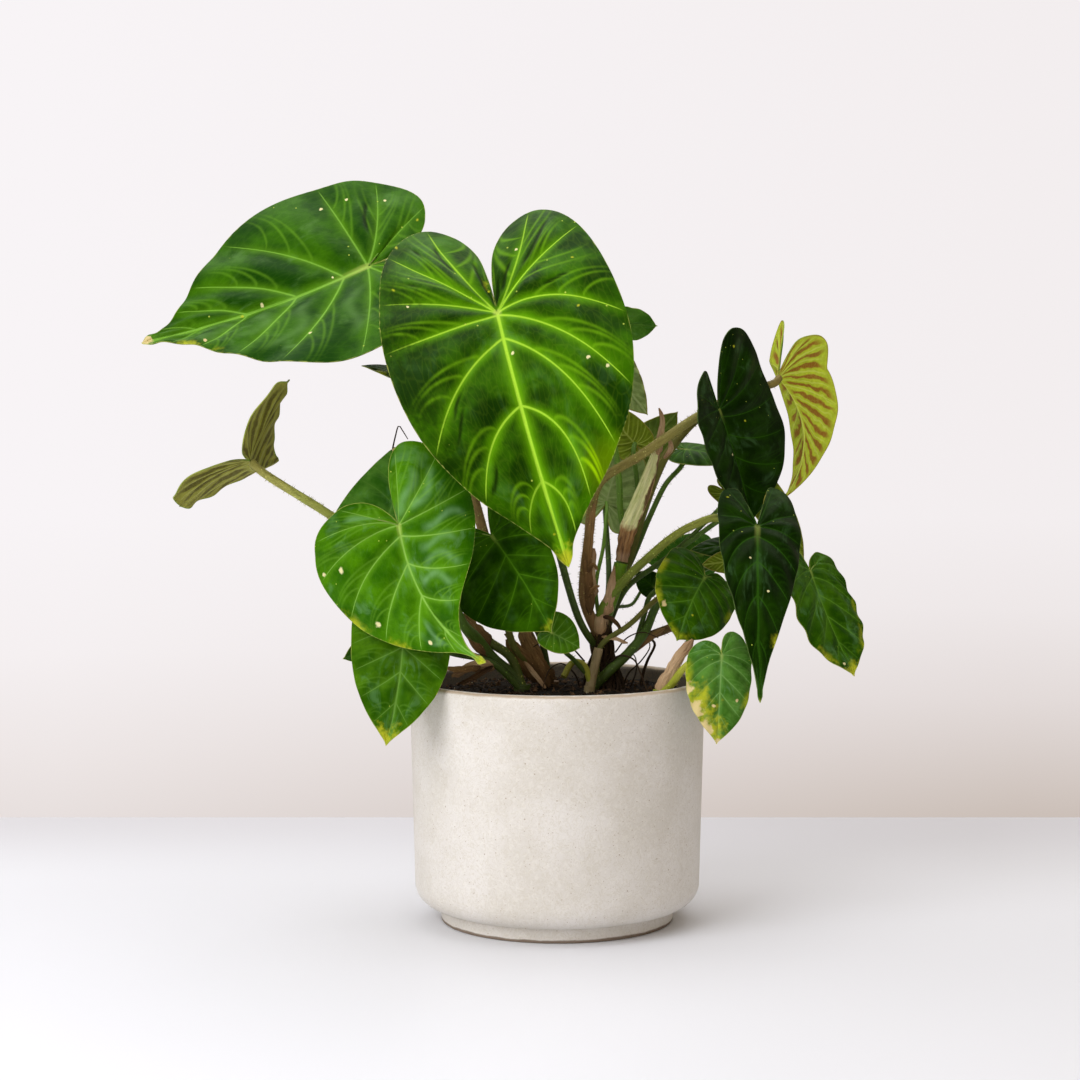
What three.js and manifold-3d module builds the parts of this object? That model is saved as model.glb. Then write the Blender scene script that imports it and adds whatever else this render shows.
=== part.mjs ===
// A potted philodendron verrucosum: an off-white stoneware planter filled with soil, and seven leafy
// shoots whose bristly petioles carry heart-shaped blades. Millimetres, +Z up, the pot's axis on Z,
// its resting face at z = 0, and the side with the largest blade facing -Y.
import * as THREE from "three";
import { mergeVertices } from "three/addons/utils/BufferGeometryUtils.js";
import Module from "manifold-3d";

const wasm = await Module();
wasm.setup();

// Pot: a planter of about 6 inches, 152 mm across its rim
const RIM_RADIUS = 76;
const POT_HEIGHT = 125;
const LOW_RADIUS = 73.5; // outer radius just above the rounded lower corner
const LOW_HEIGHT = 20;
const FOOT_RADIUS = 60;
const FOOT_HEIGHT = 8;
const FOOT_BEVEL = 1;
const CORNER_STEPS = 5;
const WALL = 5.5;
const FLOOR = 9;
const RIM_STEPS = 4;
const POT_SIDES = 44;

// Soil: a low mound that fills the pot to just under its rim
const SOIL_EDGE = 116.5; // height at the wall
const SOIL_MOUND = 3.5; // extra height in the middle
const SOIL_SIDES = 32;
const SOIL_RINGS = [0.3, 0.6, 0.88];
const ROOT_DEPTH = 22; // how far each shoot reaches below the rim's height
const SOIL_DRAFT = 0.4; // extra room at the wall, whose facets and the soil's don't line up
const HOLE_SIDES = 12;
const CLEARANCE = 0.3; // between pieces that touch

// Blades: heart-shaped, 0.8 mm thick
const BLADE_THICKNESS = 0.8;
const SAME_POINT = 0.005; // points nearer than this are one point
const FRONT = [0, -1, 0];
const BACK = [0, 1, 0];

// One half of a heart outline from the notch round to the tip: [share of the half width, share of
// the lobe's length where negative, of the blade's length where positive]
const HALF_OUTLINE = [
  [0.0, -0.06], [0.02, -0.36], [0.09, -0.68], [0.26, -0.93], [0.5, -1.0], [0.78, -0.82], [0.95, -0.38],
  [1.0, 0.08], [0.945, 0.34], [0.75, 0.58], [0.46, 0.78], [0.19, 0.91], [0.055, 0.965], [0.0, 1.0],
];
const OUTLINE_DIVISIONS = 400; // for measuring along it
// How an open notch and a fuller lower half move these points outwards, and how a lower widest place
// moves them towards the tip
const NOTCH_SPREAD = [0, 0.1, 0.17, 0.1];
const BELLY_SPREAD = [0, 0, 0, 0, 0, 0, 0, 0, 0.04, 0.09, 0.1, 0.05];
const LOW_SHIFT = [0, 0, 0, 0, 0, 0.05, 0.1, 0.12, 0.11, 0.08, 0.03];

// Eight lateral veins a side, numbered from the notch (0) to the tip (8)
const VEINS = 8;
const VEIN_END = [0, 0.2, 0.33, 0.45, 0.565, 0.675, 0.785, 0.895, 1]; // share of the outline where each ends
const VEIN_START = [0, 0, 0, 0, 0.06, 0.22, 0.42, 0.66, 1]; // share of the midrib where each leaves it
const VEIN_HEADING = [180, 158, 128, 100, 72, 52, 42, 34, 26]; // degrees from the midrib's direction
const VEIN_BOW = 0.45; // how far along its line a vein keeps that heading
const LOBE_BOW = 40; // degrees by which each vein past the first may lean more to the notch than its line

// Ripples of the margin: half turns per vein, the shift between the halves, and how far the twist goes
// on into the lobes
const WAVE_RATE = 1.7;
const WAVE_SHIFT = 1.3;
const LOBE_TWIST = 0.4;

// How finely a blade is split: rows along its outline, closer in the notch, and cells from midrib to margin
const ROW_EASE = 1.25;
const LARGE = { rows: 16, cells: 4 };
const FINE = { rows: 14, cells: 3 };
const MEDIUM = { rows: 12, cells: 2 };
const SMALL = { rows: 10, cells: 2 };

// Each blade: where the petiole meets it (hub) and its tip, the way its upper face looks before it is
// rolled about that line, and its shape. Pairs are the left and right half, seen from above with the
// tip away. width: widest half width; lobe: length behind the hub; fold: degrees each half is raised;
// curl: degrees it then curves down; droop, lobeDroop: degrees the tip and the lobes bend down;
// twist: degrees from lobes to tip; sweep: sideways bow of the midrib; wave: height of the margin's
// waves; notch, belly, low: outline changes as above.
const BLADES = {
  blade_front_large: { hub: [-30, -40, 311], tip: [5, -82, 188], face: FRONT, roll: 8, mesh: LARGE,
    width: [62, 61], lobe: [62, 61], fold: [6, 20], curl: [22, -14], droop: 30, lobeDroop: 23,
    twist: 4, notch: -0.05, belly: -1.6, low: 1.0, wave: 0.6 },
  blade_upper_left: { hub: [-98, 15, 337], tip: [-210, -17, 297], face: FRONT, roll: 43, mesh: LARGE,
    width: [62, 65], lobe: [43, 42], fold: [9, 14], curl: [8, 15], droop: -5, lobeDroop: 6,
    twist: 1, notch: -0.05, belly: -2.4, low: 0.9, sweep: -4, wave: 1.2 },
  blade_left_middle: { hub: [-78, -57, 207], tip: [-35, -81, 142], face: FRONT, roll: -22, mesh: LARGE,
    width: [41, 46], lobe: [35, 20], fold: [50, -15], curl: [70, 26], droop: -61, lobeDroop: 12,
    twist: -31, notch: 0.3, belly: -3.3, low: 0.4, sweep: 6, wave: 0.5 },
  blade_left_low: { hub: [-77, -36, 158], tip: [-84, -70, 100], face: FRONT, roll: 0, mesh: FINE,
    width: [24, 26], lobe: [24, 24], fold: [7, 8], curl: [13, 12], droop: 12, lobeDroop: 12,
    twist: 1, low: 0.4, sweep: -2, wave: 0.8 },
  blade_left_back: { hub: [-88, -13, 207], tip: [-84, 8, 244], face: FRONT, roll: 13, mesh: MEDIUM,
    width: [25, 21], lobe: [16, 16], fold: [7, 8], curl: [17, 18], droop: 20, lobeDroop: 12,
    twist: 2, belly: -0.6, low: -0.5, sweep: 4, wave: 0.6 },
  blade_left_hidden: { hub: [-82, -20, 148], tip: [-109, -20, 137], face: FRONT, roll: -30, mesh: SMALL,
    width: [12, 12], lobe: [9, 9], curl: [15, 15], droop: 15 },
  blade_young: { hub: [-154, -30, 238], tip: [-148, 44, 236], face: [-0.7, 0.35, 0.6], roll: 10, mesh: FINE,
    width: [43, 45], lobe: [29, 31], fold: [24, 32], curl: [30, 17], droop: -7, lobeDroop: -1,
    twist: 4, notch: -0.05, belly: -1.6, low: -0.3, sweep: -7, wave: 1.4 },
  blade_behind_front: { hub: [-61, 28, 276], tip: [-102, 22, 286], face: FRONT, roll: 50, mesh: SMALL,
    width: [13, 13], lobe: [10, 10], curl: [15, 15], droop: 15 },
  blade_centre_low: { hub: [-33, -29, 200], tip: [-3, -49, 153], face: FRONT, roll: 8, mesh: FINE,
    width: [22, 36], lobe: [21, 18], fold: [12, 8], curl: [13, 16], droop: 21, lobeDroop: 12,
    notch: 0.8, belly: 0.3, low: 0.7, sweep: -2, wave: 0.5 },
  blade_centre_small: { hub: [-3, -38, 152], tip: [11, -35, 144], face: FRONT, roll: -27, mesh: SMALL,
    width: [12, 10], lobe: [6, 6], fold: [9, 16], curl: [16, 10], droop: 18, lobeDroop: 11 },
  blade_back_top: { hub: [23, 30, 310], tip: [53, 34, 307], face: FRONT, roll: 20, mesh: MEDIUM,
    width: [9, 9], lobe: [10, 10], fold: [12, 12], curl: [15, 15], droop: 15, belly: 2, low: 1, wave: 0.6 },
  blade_back_wavy: { hub: [22, 60, 295], tip: [49, 54, 260], face: BACK, roll: 0, mesh: MEDIUM,
    width: [15, 13], lobe: [12, 12], curl: [20, 20], droop: 20, wave: 1.8 },
  blade_back_curled: { hub: [38, 52, 231], tip: [65, 53, 262], face: BACK, roll: 0, mesh: MEDIUM,
    width: [15, 14], lobe: [11, 11], fold: [10, 10], curl: [60, 60], droop: 30, wave: 0.8 },
  blade_back_olive: { hub: [41, 26, 245], tip: [22, 30, 267], face: BACK, roll: 0, mesh: SMALL,
    width: [11, 11], lobe: [7, 7], fold: [8, 8], curl: [25, 25], droop: 20 },
  blade_back_grey: { hub: [26, 32, 214], tip: [38, 39, 254], face: BACK, roll: 0, mesh: MEDIUM,
    width: [20, 18], lobe: [15, 15], curl: [20, 20], droop: 10, notch: 0.6, wave: 1.2 },
  blade_back_right: { hub: [68, 34, 242], tip: [96, 30, 235], face: [0.1, -0.45, 0.9], roll: 0, mesh: SMALL,
    width: [13, 13], lobe: [9, 9], curl: [20, 20], droop: 20 },
  blade_right_upper: { hub: [83, 3, 263], tip: [101, 9, 205], face: FRONT, roll: -42, mesh: FINE,
    width: [38, 25], lobe: [39, 24], fold: [16, 22], curl: [23, 12], droop: -10, lobeDroop: -9,
    twist: -12, notch: 0.5, belly: 0.5, low: -0.2, sweep: -3, wave: 0.5 },
  blade_right_lower: { hub: [101, -20, 204], tip: [99, -62, 120], face: FRONT, roll: -9, mesh: FINE,
    width: [25, 20], lobe: [32, 26], fold: [1, 8], curl: [29, 22], droop: 29, lobeDroop: 14,
    twist: 2, notch: 1.0, belly: -2.3, low: -0.5, sweep: 2, wave: 1.0 },
  blade_right_new: { hub: [117, 38, 280], tip: [120, 35, 216], face: BACK, roll: -9, mesh: FINE,
    width: [33, 35], lobe: [22, 19], fold: [109, 35], curl: [25, 15], droop: 36, lobeDroop: 13,
    twist: 20, notch: 0.7, belly: -0.6, low: -0.6, sweep: 14, wave: 0.6 },
  blade_right_outer: { hub: [129, -10, 181], tip: [151, -19, 128], face: FRONT, roll: -45, mesh: FINE,
    width: [25, 24], lobe: [8, 17], fold: [6, 17], curl: [25, 13], droop: 2, lobeDroop: 7,
    twist: -13, notch: 0.2, belly: 0.5, low: 0.9, sweep: 2, wave: 1.0 },
  blade_right_inner: { hub: [76, 0, 177], tip: [60, -29, 147], face: FRONT, roll: -10, mesh: MEDIUM,
    width: [24, 23], lobe: [13, 15], fold: [0, 3], curl: [24, 17], droop: 26, lobeDroop: 19,
    twist: -4, notch: 0.6, belly: 1.0, sweep: 2, wave: 0.4 },
  blade_rim_yellow: { hub: [81, -48, 142], tip: [78, -58, 99], face: FRONT, roll: -20, mesh: MEDIUM,
    width: [18, 18], lobe: [14, 7], fold: [5, 3], curl: [25, 24], droop: 25, lobeDroop: 12,
    twist: -2, low: 0.7, sweep: 1, wave: 0.5 },
  blade_inner_olive: { hub: [77, 38, 186], tip: [48, 35, 182], face: FRONT, roll: 10, mesh: SMALL,
    width: [13, 13], lobe: [8, 8], curl: [30, 30], droop: 20 },
  blade_inner_flat: { hub: [95, 27, 192], tip: [70, 28, 189], face: [0, -0.6, 0.8], roll: 0, mesh: SMALL,
    width: [9, 9], lobe: [6, 6], curl: [15, 15], droop: 15 },
  blade_inner_green: { hub: [97, 19, 185], tip: [75, 16, 182], face: BACK, roll: 0, mesh: SMALL,
    width: [7, 7], lobe: [5, 5], curl: [20, 20], droop: 15 },
  blade_outer_olive: { hub: [107, 21, 218], tip: [129, 16, 185], face: BACK, roll: 0, mesh: SMALL,
    width: [9, 11], lobe: [7, 7], curl: [25, 25], droop: 20 },
  blade_outer_small: { hub: [89, 26, 220], tip: [105, 30, 209], face: BACK, roll: 0, mesh: SMALL,
    width: [7, 7], lobe: [11, 9], curl: [15, 15], droop: 15 },
  blade_inner_small: { hub: [51, 26, 170], tip: [41, 22, 178], face: FRONT, roll: 0, mesh: SMALL,
    width: [7, 7], lobe: [4, 4], curl: [15, 15], droop: 15 },
};

// Shoots: the part of each stem in the soil stands upright at root, and every stem on it runs through
// the points of its route to the blade it carries. A flat stem is a dry papery sheath.
const SHOOTS = {
  shoot_right: { root: [25, 8], radius: 7, stems: [
    { route: [[25, 8, 122], [23, 4, 140], [22, 1, 157]], radius: [7, 4.5] },
    { route: [[22, 1, 146], [14, 0, 166], [16, 1, 196], [18, 2, 214], [22, 1, 226], [43, 0, 240],
      [70, 8, 258]],
      radius: [4, 2.3], blade: "blade_right_upper" },
    { route: [[22, 0, 150], [23, -2, 160], [34, -2, 175], [44, -3, 185], [59, -5, 198],
      [69, -7, 204], [82, -7, 208]],
      radius: [3.4, 2.4], blade: "blade_right_lower" },
    { route: [[23, 3, 154], [28, 4, 166], [31.5, 5, 177], [33, 5.3, 184]], radius: [4, 3.6] },
    { route: [[25, 6, 154], [29, 9, 167], [37, 13, 185], [45, 15, 211], [53, 16, 232],
      [58, 18, 241], [73, 23, 258],
      [96, 32, 272]], radius: [2.6, 2], blade: "blade_right_new" },
    { route: [[25, 8, 154], [30, 13, 168], [39, 17, 185], [48, 21, 206], [57, 25, 224]], radius: [1.6, 1.3],
      blade: "blade_back_right" },
    { route: [[25, 8, 152], [29, 12, 165], [35, 16, 193], [33, 18, 211], [32, 18, 231],
      [27, 22, 258], [22, 34, 284]],
      radius: [1.8, 1.5], blade: "blade_back_top" },
    { route: [[27, 9, 153], [33, 14, 169], [38, 19, 187], [42, 21, 220]],
      radius: [1.5, 1.2], blade: "blade_back_olive" },
    { route: [[26, 10, 150], [31, 20, 174], [35, 38, 200]], radius: [1.6, 1.3], blade: "blade_back_curled" },
    { route: [[22, 2, 152], [20, 5, 172], [24, 12, 192]], radius: [1.1, 0.9], blade: "blade_back_grey" },
    { route: [[24, 8, 150], [27, 18, 172], [26, 40, 206], [23, 46, 252]],
      radius: [1.5, 1.2], blade: "blade_back_wavy" },
    { route: [[24, 6, 148], [28, 10, 159], [40, 28, 161]], radius: [1, 0.8], blade: "blade_inner_small" },
    { route: [[26, 8, 150], [36, 14, 170], [52, 18, 182], [70, 17, 195], [87, 17, 207]], radius: [1.6, 1.2],
      blade: "blade_outer_olive" },
    { route: [[60, 17, 188], [74, 18, 201]], radius: [1.2, 1], blade: "blade_outer_small" },
    { route: [[22, 2, 138], [12, -6, 154], [2, -12, 186], [-6, -16, 218], [-19, -22, 268]],
      radius: [1.9, 1.8],
      blade: "blade_front_large" },
    { route: [[18, 1, 166], [17, -1, 180], [19, 0, 192]], radius: [3.2, 1.2], flat: 0.5 },
  ] },
  shoot_right_low: { root: [18, -8], radius: 2.8, stems: [
    { route: [[18, -8, 121], [28, -9, 131], [36, -6, 138], [45, 2, 148], [52, 16, 161], [64, 38, 170]],
      radius: [2.8, 1.6], blade: "blade_inner_olive" },
    { route: [[20, -9, 125], [22, -9, 142], [37, -5, 153], [54, 4, 167]], radius: [1.5, 1.3],
      blade: "blade_right_inner" },
    { route: [[40, -3, 142], [45, 8, 156], [49, 13, 167], [66, 22, 174], [85, 30, 182]], radius: [1.4, 1.1],
      blade: "blade_inner_flat" },
    { route: [[32, -8, 134], [43, 2, 144], [58, 14, 149], [85, 20, 159], [113, 7, 174]], radius: [2.4, 1.7],
      blade: "blade_right_outer" },
  ] },
  shoot_centre: { root: [-4, 3], radius: 5, stems: [
    { route: [[-4, 3, 121], [-8, 2, 130], [-15, 4, 147], [-27, 4, 166], [-40, 8, 206],
      [-57, 16, 268], [-82, 26, 316]],
      radius: [3, 2.1], blade: "blade_upper_left" },
    { route: [[-4, 4, 124], [-9, 8, 146], [-20, 14, 164], [-38, 28, 227]], radius: [1.8, 1.4],
      blade: "blade_behind_front" },
    { route: [[-4, 2, 120], [-14, -6, 133], [-22, -11, 142], [-28, -15, 167]], radius: [2, 1.6],
      blade: "blade_centre_low" },
    { route: [[-3, -1, 121], [-8, -7, 130], [-14, -10, 141], [-18, -10, 152]], radius: [4, 3], flat: 0.4 },
    { route: [[-8, -3, 123], [-18, -9, 133], [-26, -10, 146]], radius: [2.8, 1.6], flat: 0.4 },
  ] },
  shoot_left: { root: [-18, -12], radius: 4.5, stems: [
    { route: [[-18, -12, 120], [-22, -12, 127], [-32, -15, 136], [-41, -23, 148], [-47, -37, 156],
      [-53, -46, 170], [-62, -50, 188]],
      radius: [3, 2.1], blade: "blade_left_middle" },
    { route: [[-18, -12, 122], [-24, -12, 137], [-36, -14, 146], [-60, -13, 167], [-84, -17, 188],
      [-113, -31, 210]],
      radius: [2.4, 2.1], blade: "blade_young" },
    { route: [[-28, -13, 134], [-44, -9, 146], [-61, -4, 172], [-76, 0, 193]], radius: [1.5, 1.2],
      blade: "blade_left_back" },
    { route: [[-18, -14, 120], [-32, -19, 134], [-46, -21, 140], [-63, -22, 148]], radius: [1.8, 1.4],
      blade: "blade_left_low" },
    { route: [[-38, -20, 137], [-53, -15, 139], [-68, -11, 143]],
      radius: [1.4, 1.1], blade: "blade_left_hidden" },
    { route: [[-36, -17, 141], [-42, -22, 151], [-48, -27, 160]], radius: [4.6, 2.5], flat: 0.35 },
    { route: [[-30, -18, 133], [-44, -30, 134], [-53, -36, 130]], radius: [2.6, 1.4], flat: 0.45 },
  ] },
  shoot_front: { root: [16, -18], radius: 2.6, stems: [
    { route: [[16, -18, 119], [18, -17, 129], [21, -16, 142]], radius: [2.6, 2.3] },
    { route: [[17, -18, 124], [13, -18, 134], [8, -17, 135], [3, -21, 128]], radius: [1.6, 1.7] },
    { route: [[14, -18, 130], [8, -22, 137], [3, -29, 142]], radius: [1.3, 1], blade: "blade_centre_small" },
  ] },
  shoot_rim: { root: [50, -33], radius: 2.2, stems: [
    { route: [[50, -33, 119], [56, -37, 125], [63, -42, 135], [71, -45, 141]], radius: [2, 1.6],
      blade: "blade_rim_yellow" },
    { route: [[51, -33, 120], [58, -32, 134], [68, -30, 148]], radius: [3.2, 1.8], flat: 0.35 },
  ] },
  shoot_back_rim: { root: [59, 8], radius: 1.6, stems: [
    { route: [[59, 8, 119], [62, 7, 132], [68, 8, 143], [86, 18, 168]], radius: [1.4, 1],
      blade: "blade_inner_green" },
  ] },
};
const STEM_STEP = 17; // millimetres between a stem's rings
const STEM_SIDES = 5;
const ARRIVAL = 7; // length of the bend with which a petiole meets its blade
const PETIOLE_TILT = [0.75, 0.65]; // that bend's share square to the blade, and its share along the petiole
const END_REACH = 0.75; // share of the radius that a leaning end reaches towards the blade

// The papery sheath that still wraps a new leaf, and the root that curls out of the soil
const SHEATH = { flat: 0.85, step: 8,
  route: [[33.2, 5.4, 184.9], [36.6, 6, 201], [43, 7, 217], [50, 8, 237], [54, 9, 253]],
  radius: [3.6, 5, 4.8, 3.2, 1.2] };
const ROOT_CURL = { root: [44, 12], step: 5,
  route: [[44, 12, 104], [44, 12, 122], [47, 13, 132], [51, 14, 141], [49, 12, 144]],
  radius: 1, endRadius: 0.6 };

// Finishes from the real thing
const GREEN = { color: "#2f6a17", roughness: 0.45 };
const DARK_GREEN = { color: "#153a0c", roughness: 0.45 };
const UNDERSIDE = { color: "#7c8a35", roughness: 0.6 };
const PETIOLE = { color: "#70702c", roughness: 0.6 };
const STONEWARE = { color: "#d8d3c8", roughness: 0.42 };
const POTTING_MIX = { color: "#22170f", roughness: 0.95 };
const DRY_SHEATH = { color: "#a58a63", roughness: 0.8 };
const DARK_BLADES = ["blade_right_upper", "blade_right_lower", "blade_centre_low", "blade_back_curled"];

const part = new THREE.Group();

function addPiece(name, geometry, finish) {
  const mesh = new THREE.Mesh(geometry, new THREE.MeshStandardMaterial({ metalness: 0, ...finish }));
  mesh.name = name;
  part.add(mesh);
}

function toSolid(geometry) {
  const bare = new THREE.BufferGeometry().setAttribute("position", geometry.getAttribute("position"));
  bare.setIndex(geometry.getIndex());
  const merged = mergeVertices(bare, 1e-4);
  return new wasm.Manifold(new wasm.Mesh({
    numProp: 3,
    vertProperties: merged.attributes.position.array,
    triVerts: new Uint32Array(merged.index.array),
  }));
}

function toGeometry(solid) {
  const { vertProperties, triVerts } = solid.getMesh();
  const geometry = new THREE.BufferGeometry();
  geometry.setAttribute("position", new THREE.BufferAttribute(vertProperties, 3));
  geometry.setIndex(new THREE.BufferAttribute(triVerts, 1));
  return geometry;
}

// A closed tapering stem along a smooth curve, in rings of STEM_SIDES, flattened towards the camera side
function stemGeometry(points, radii, flat = 1, step = STEM_STEP) {
  const curve = new THREE.CatmullRomCurve3(points, false, "centripetal");
  const rings = Math.max(2, Math.round(curve.getLength() / step));
  const frames = curve.computeFrenetFrames(rings, false);
  const positions = [];
  const indices = [];
  for (let ring = 0; ring <= rings; ring++) {
    const centre = curve.getPointAt(ring / rings);
    const along = (ring / rings) * (radii.length - 1);
    const from = Math.min(Math.floor(along), radii.length - 2);
    const radius = THREE.MathUtils.lerp(radii[from], radii[from + 1], along - from);
    for (let side = 0; side < STEM_SIDES; side++) {
      const angle = (2 * Math.PI * side) / STEM_SIDES;
      const point = centre.clone()
        .addScaledVector(frames.normals[ring], radius * Math.cos(angle))
        .addScaledVector(frames.binormals[ring], radius * flat * Math.sin(angle));
      positions.push(...point.toArray());
    }
  }
  const at = (ring, side) => ring * STEM_SIDES + (side % STEM_SIDES);
  for (let ring = 0; ring < rings; ring++) {
    for (let side = 0; side < STEM_SIDES; side++) {
      indices.push(at(ring, side), at(ring, side + 1), at(ring + 1, side));
      indices.push(at(ring, side + 1), at(ring + 1, side + 1), at(ring + 1, side));
    }
  }
  for (let side = 1; side < STEM_SIDES - 1; side++) {
    indices.push(at(0, 0), at(0, side + 1), at(0, side));
    indices.push(at(rings, 0), at(rings, side), at(rings, side + 1));
  }
  const geometry = new THREE.BufferGeometry();
  geometry.setAttribute("position", new THREE.Float32BufferAttribute(positions, 3));
  geometry.setIndex(indices);
  return geometry;
}

// A blade's own frame: hub, length, and the directions across it, to its tip and out of its upper face
function bladeFrame(blade) {
  const hub = new THREE.Vector3(...blade.hub);
  const chord = new THREE.Vector3(...blade.tip).sub(hub);
  const span = chord.length();
  chord.normalize();
  const halfDroop = THREE.MathUtils.degToRad(blade.droop) / 2;
  const length = (span * halfDroop) / Math.sin(halfDroop);
  const up = new THREE.Vector3(...blade.face);
  up.addScaledVector(chord, -up.dot(chord)).normalize();
  up.applyAxisAngle(chord, THREE.MathUtils.degToRad(blade.roll));
  const toTip = chord.clone().multiplyScalar(Math.cos(halfDroop)).addScaledVector(up, Math.sin(halfDroop));
  const out = chord.clone().multiplyScalar(-Math.sin(halfDroop)).addScaledVector(up, Math.cos(halfDroop));
  return { hub, length, across: toTip.clone().cross(out), toTip, out };
}

// How far forward and how far aside an arc of a curvature reaches after a length
function arc(curvature, length) {
  if (Math.abs(curvature * length) < 1e-6) return [length, 0];
  return [Math.sin(curvature * length) / curvature, (1 - Math.cos(curvature * length)) / curvature];
}

function sample(list, place) {
  const from = Math.min(Math.floor(place), list.length - 2);
  return THREE.MathUtils.lerp(list[from], list[from + 1], place - from);
}

// The flat shape of one half of a blade, as a function of vein number and share of the way to the margin
function flatHalf(blade, half, length) {
  const width = blade.width[half];
  const lobe = blade.lobe[half];
  const { notch = 0, belly = 0, low = 0 } = blade;
  const meanLobe = (blade.lobe[0] + blade.lobe[1]) / 2;
  const outline = new THREE.CatmullRomCurve3(HALF_OUTLINE.map(([x, y], i) => {
    const spread = x + notch * (NOTCH_SPREAD[i] ?? 0) + belly * (BELLY_SPREAD[i] ?? 0);
    const along = (y < 0 ? y * (i ? lobe : meanLobe) : y * length) + low * length * (LOW_SHIFT[i] ?? 0);
    return new THREE.Vector3(spread * width, along, 0);
  }), false, "catmullrom", 0.5);
  outline.arcLengthDivisions = OUTLINE_DIVISIONS;
  return (vein, share) => {
    const end = outline.getPointAt(sample(VEIN_END, vein));
    const start = new THREE.Vector3(0, sample(VEIN_START, vein) * length, 0);
    const line = THREE.MathUtils.radToDeg(Math.atan2(end.x, end.y - start.y));
    const steepest = line + LOBE_BOW * Math.max(0, vein - 1);
    const heading = THREE.MathUtils.degToRad(Math.min(sample(VEIN_HEADING, vein), steepest));
    const reach = VEIN_BOW * end.distanceTo(start);
    const bend = new THREE.Vector3(Math.sin(heading), Math.cos(heading), 0).multiplyScalar(reach).add(start);
    const point = start.multiplyScalar((1 - share) ** 2);
    point.addScaledVector(bend, 2 * share * (1 - share));
    return point.addScaledVector(end, share * share);
  };
}

// Bends a flat point of one half into place
function bendPoint(blade, half, frame, flat, vein, share) {
  const radians = THREE.MathUtils.degToRad;
  const { twist = 0, sweep = 0, wave = 0, fold = [0, 0], lobeDroop = 10 } = blade;
  const meanLobe = (blade.lobe[0] + blade.lobe[1]) / 2;
  const bow = flat.y >= 0 ? radians(blade.droop) / frame.length : radians(lobeDroop) / meanLobe;
  const [along, drop] = arc(bow, flat.y);
  const [flatOut, curled] = arc(-radians(blade.curl[half]) / blade.width[half], flat.x);
  const raise = radians(fold[half]);
  const side = half ? 1 : -1;
  const outward = side * (flatOut * Math.cos(raise) - curled * Math.sin(raise));
  const swing = Math.sin(WAVE_RATE * Math.PI * vein + WAVE_SHIFT * half);
  const ripple = wave * share ** 2 * swing * Math.sin((Math.PI * vein) / VEINS);
  const height = flatOut * Math.sin(raise) + curled * Math.cos(raise) + ripple;
  const turn = radians(twist) * THREE.MathUtils.clamp(flat.y / frame.length, -LOBE_TWIST, 1);
  const toTipShare = THREE.MathUtils.clamp(flat.y / frame.length, 0, 1);
  const x = outward * Math.cos(turn) - height * Math.sin(turn) + sweep * 4 * toTipShare * (1 - toTipShare);
  const lift = outward * Math.sin(turn) + height * Math.cos(turn);
  const lean = bow * flat.y;
  return frame.hub.clone()
    .addScaledVector(frame.across, x)
    .addScaledVector(frame.toTip, along + lift * Math.sin(lean))
    .addScaledVector(frame.out, -drop + lift * Math.cos(lean));
}

// A closed blade of even thickness, split alike on both faces
function bladeGeometry(blade) {
  const frame = bladeFrame(blade);
  const { rows, cells } = blade.mesh;
  const middle = []; // points of the middle surface
  const keys = new Map();
  const number = [0, 1].map((half) => {
    const shape = flatHalf(blade, half, frame.length);
    return Array.from({ length: rows + 1 }, (_, row) =>
      Array.from({ length: cells + 1 }, (_, cell) => {
        const vein = VEINS * (row / rows) ** ROW_EASE;
        const share = cell / cells;
        const point = bendPoint(blade, half, frame, shape(vein, share), vein, share);
        const key = point.toArray().map((value) => Math.round(value / SAME_POINT)).join();
        if (!keys.has(key)) {
          keys.set(key, middle.length);
          middle.push(point);
        }
        return keys.get(key);
      }));
  });
  const faces = [];
  const addFace = (a, b, c) => {
    if (a !== b && b !== c && c !== a) faces.push([a, b, c]);
  };
  for (const half of [0, 1]) {
    for (let row = 0; row < rows; row++) {
      for (let cell = 0; cell < cells; cell++) {
        const a = number[half][row][cell];
        const b = number[half][row][cell + 1];
        const c = number[half][row + 1][cell + 1];
        const d = number[half][row + 1][cell];
        const corners = half ? [[a, d, c], [a, c, b]] : [[a, c, d], [a, b, c]];
        corners.forEach((face) => addFace(...face));
      }
    }
  }
  const normals = middle.map(() => new THREE.Vector3());
  for (const [a, b, c] of faces) {
    const normal = middle[b].clone().sub(middle[a]).cross(middle[c].clone().sub(middle[a]));
    [a, b, c].forEach((i) => normals[i].add(normal));
  }
  const positions = [];
  for (const side of [0.5, -0.5]) {
    middle.forEach((point, i) => {
      const offset = normals[i].clone().normalize().multiplyScalar(side * BLADE_THICKNESS);
      positions.push(...point.clone().add(offset).toArray());
    });
  }
  const below = middle.length;
  const indices = [];
  const edges = new Map();
  for (const [a, b, c] of faces) {
    indices.push(a, b, c, a + below, c + below, b + below);
    for (const [from, to] of [[a, b], [b, c], [c, a]]) edges.set(from + ":" + to, [from, to]);
  }
  for (const [from, to] of edges.values()) {
    if (edges.has(to + ":" + from)) continue;
    indices.push(from, from + below, to + below, from, to + below, to);
  }
  const geometry = new THREE.BufferGeometry();
  geometry.setAttribute("position", new THREE.Float32BufferAttribute(positions, 3));
  geometry.setIndex(indices);
  return geometry;
}

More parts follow.
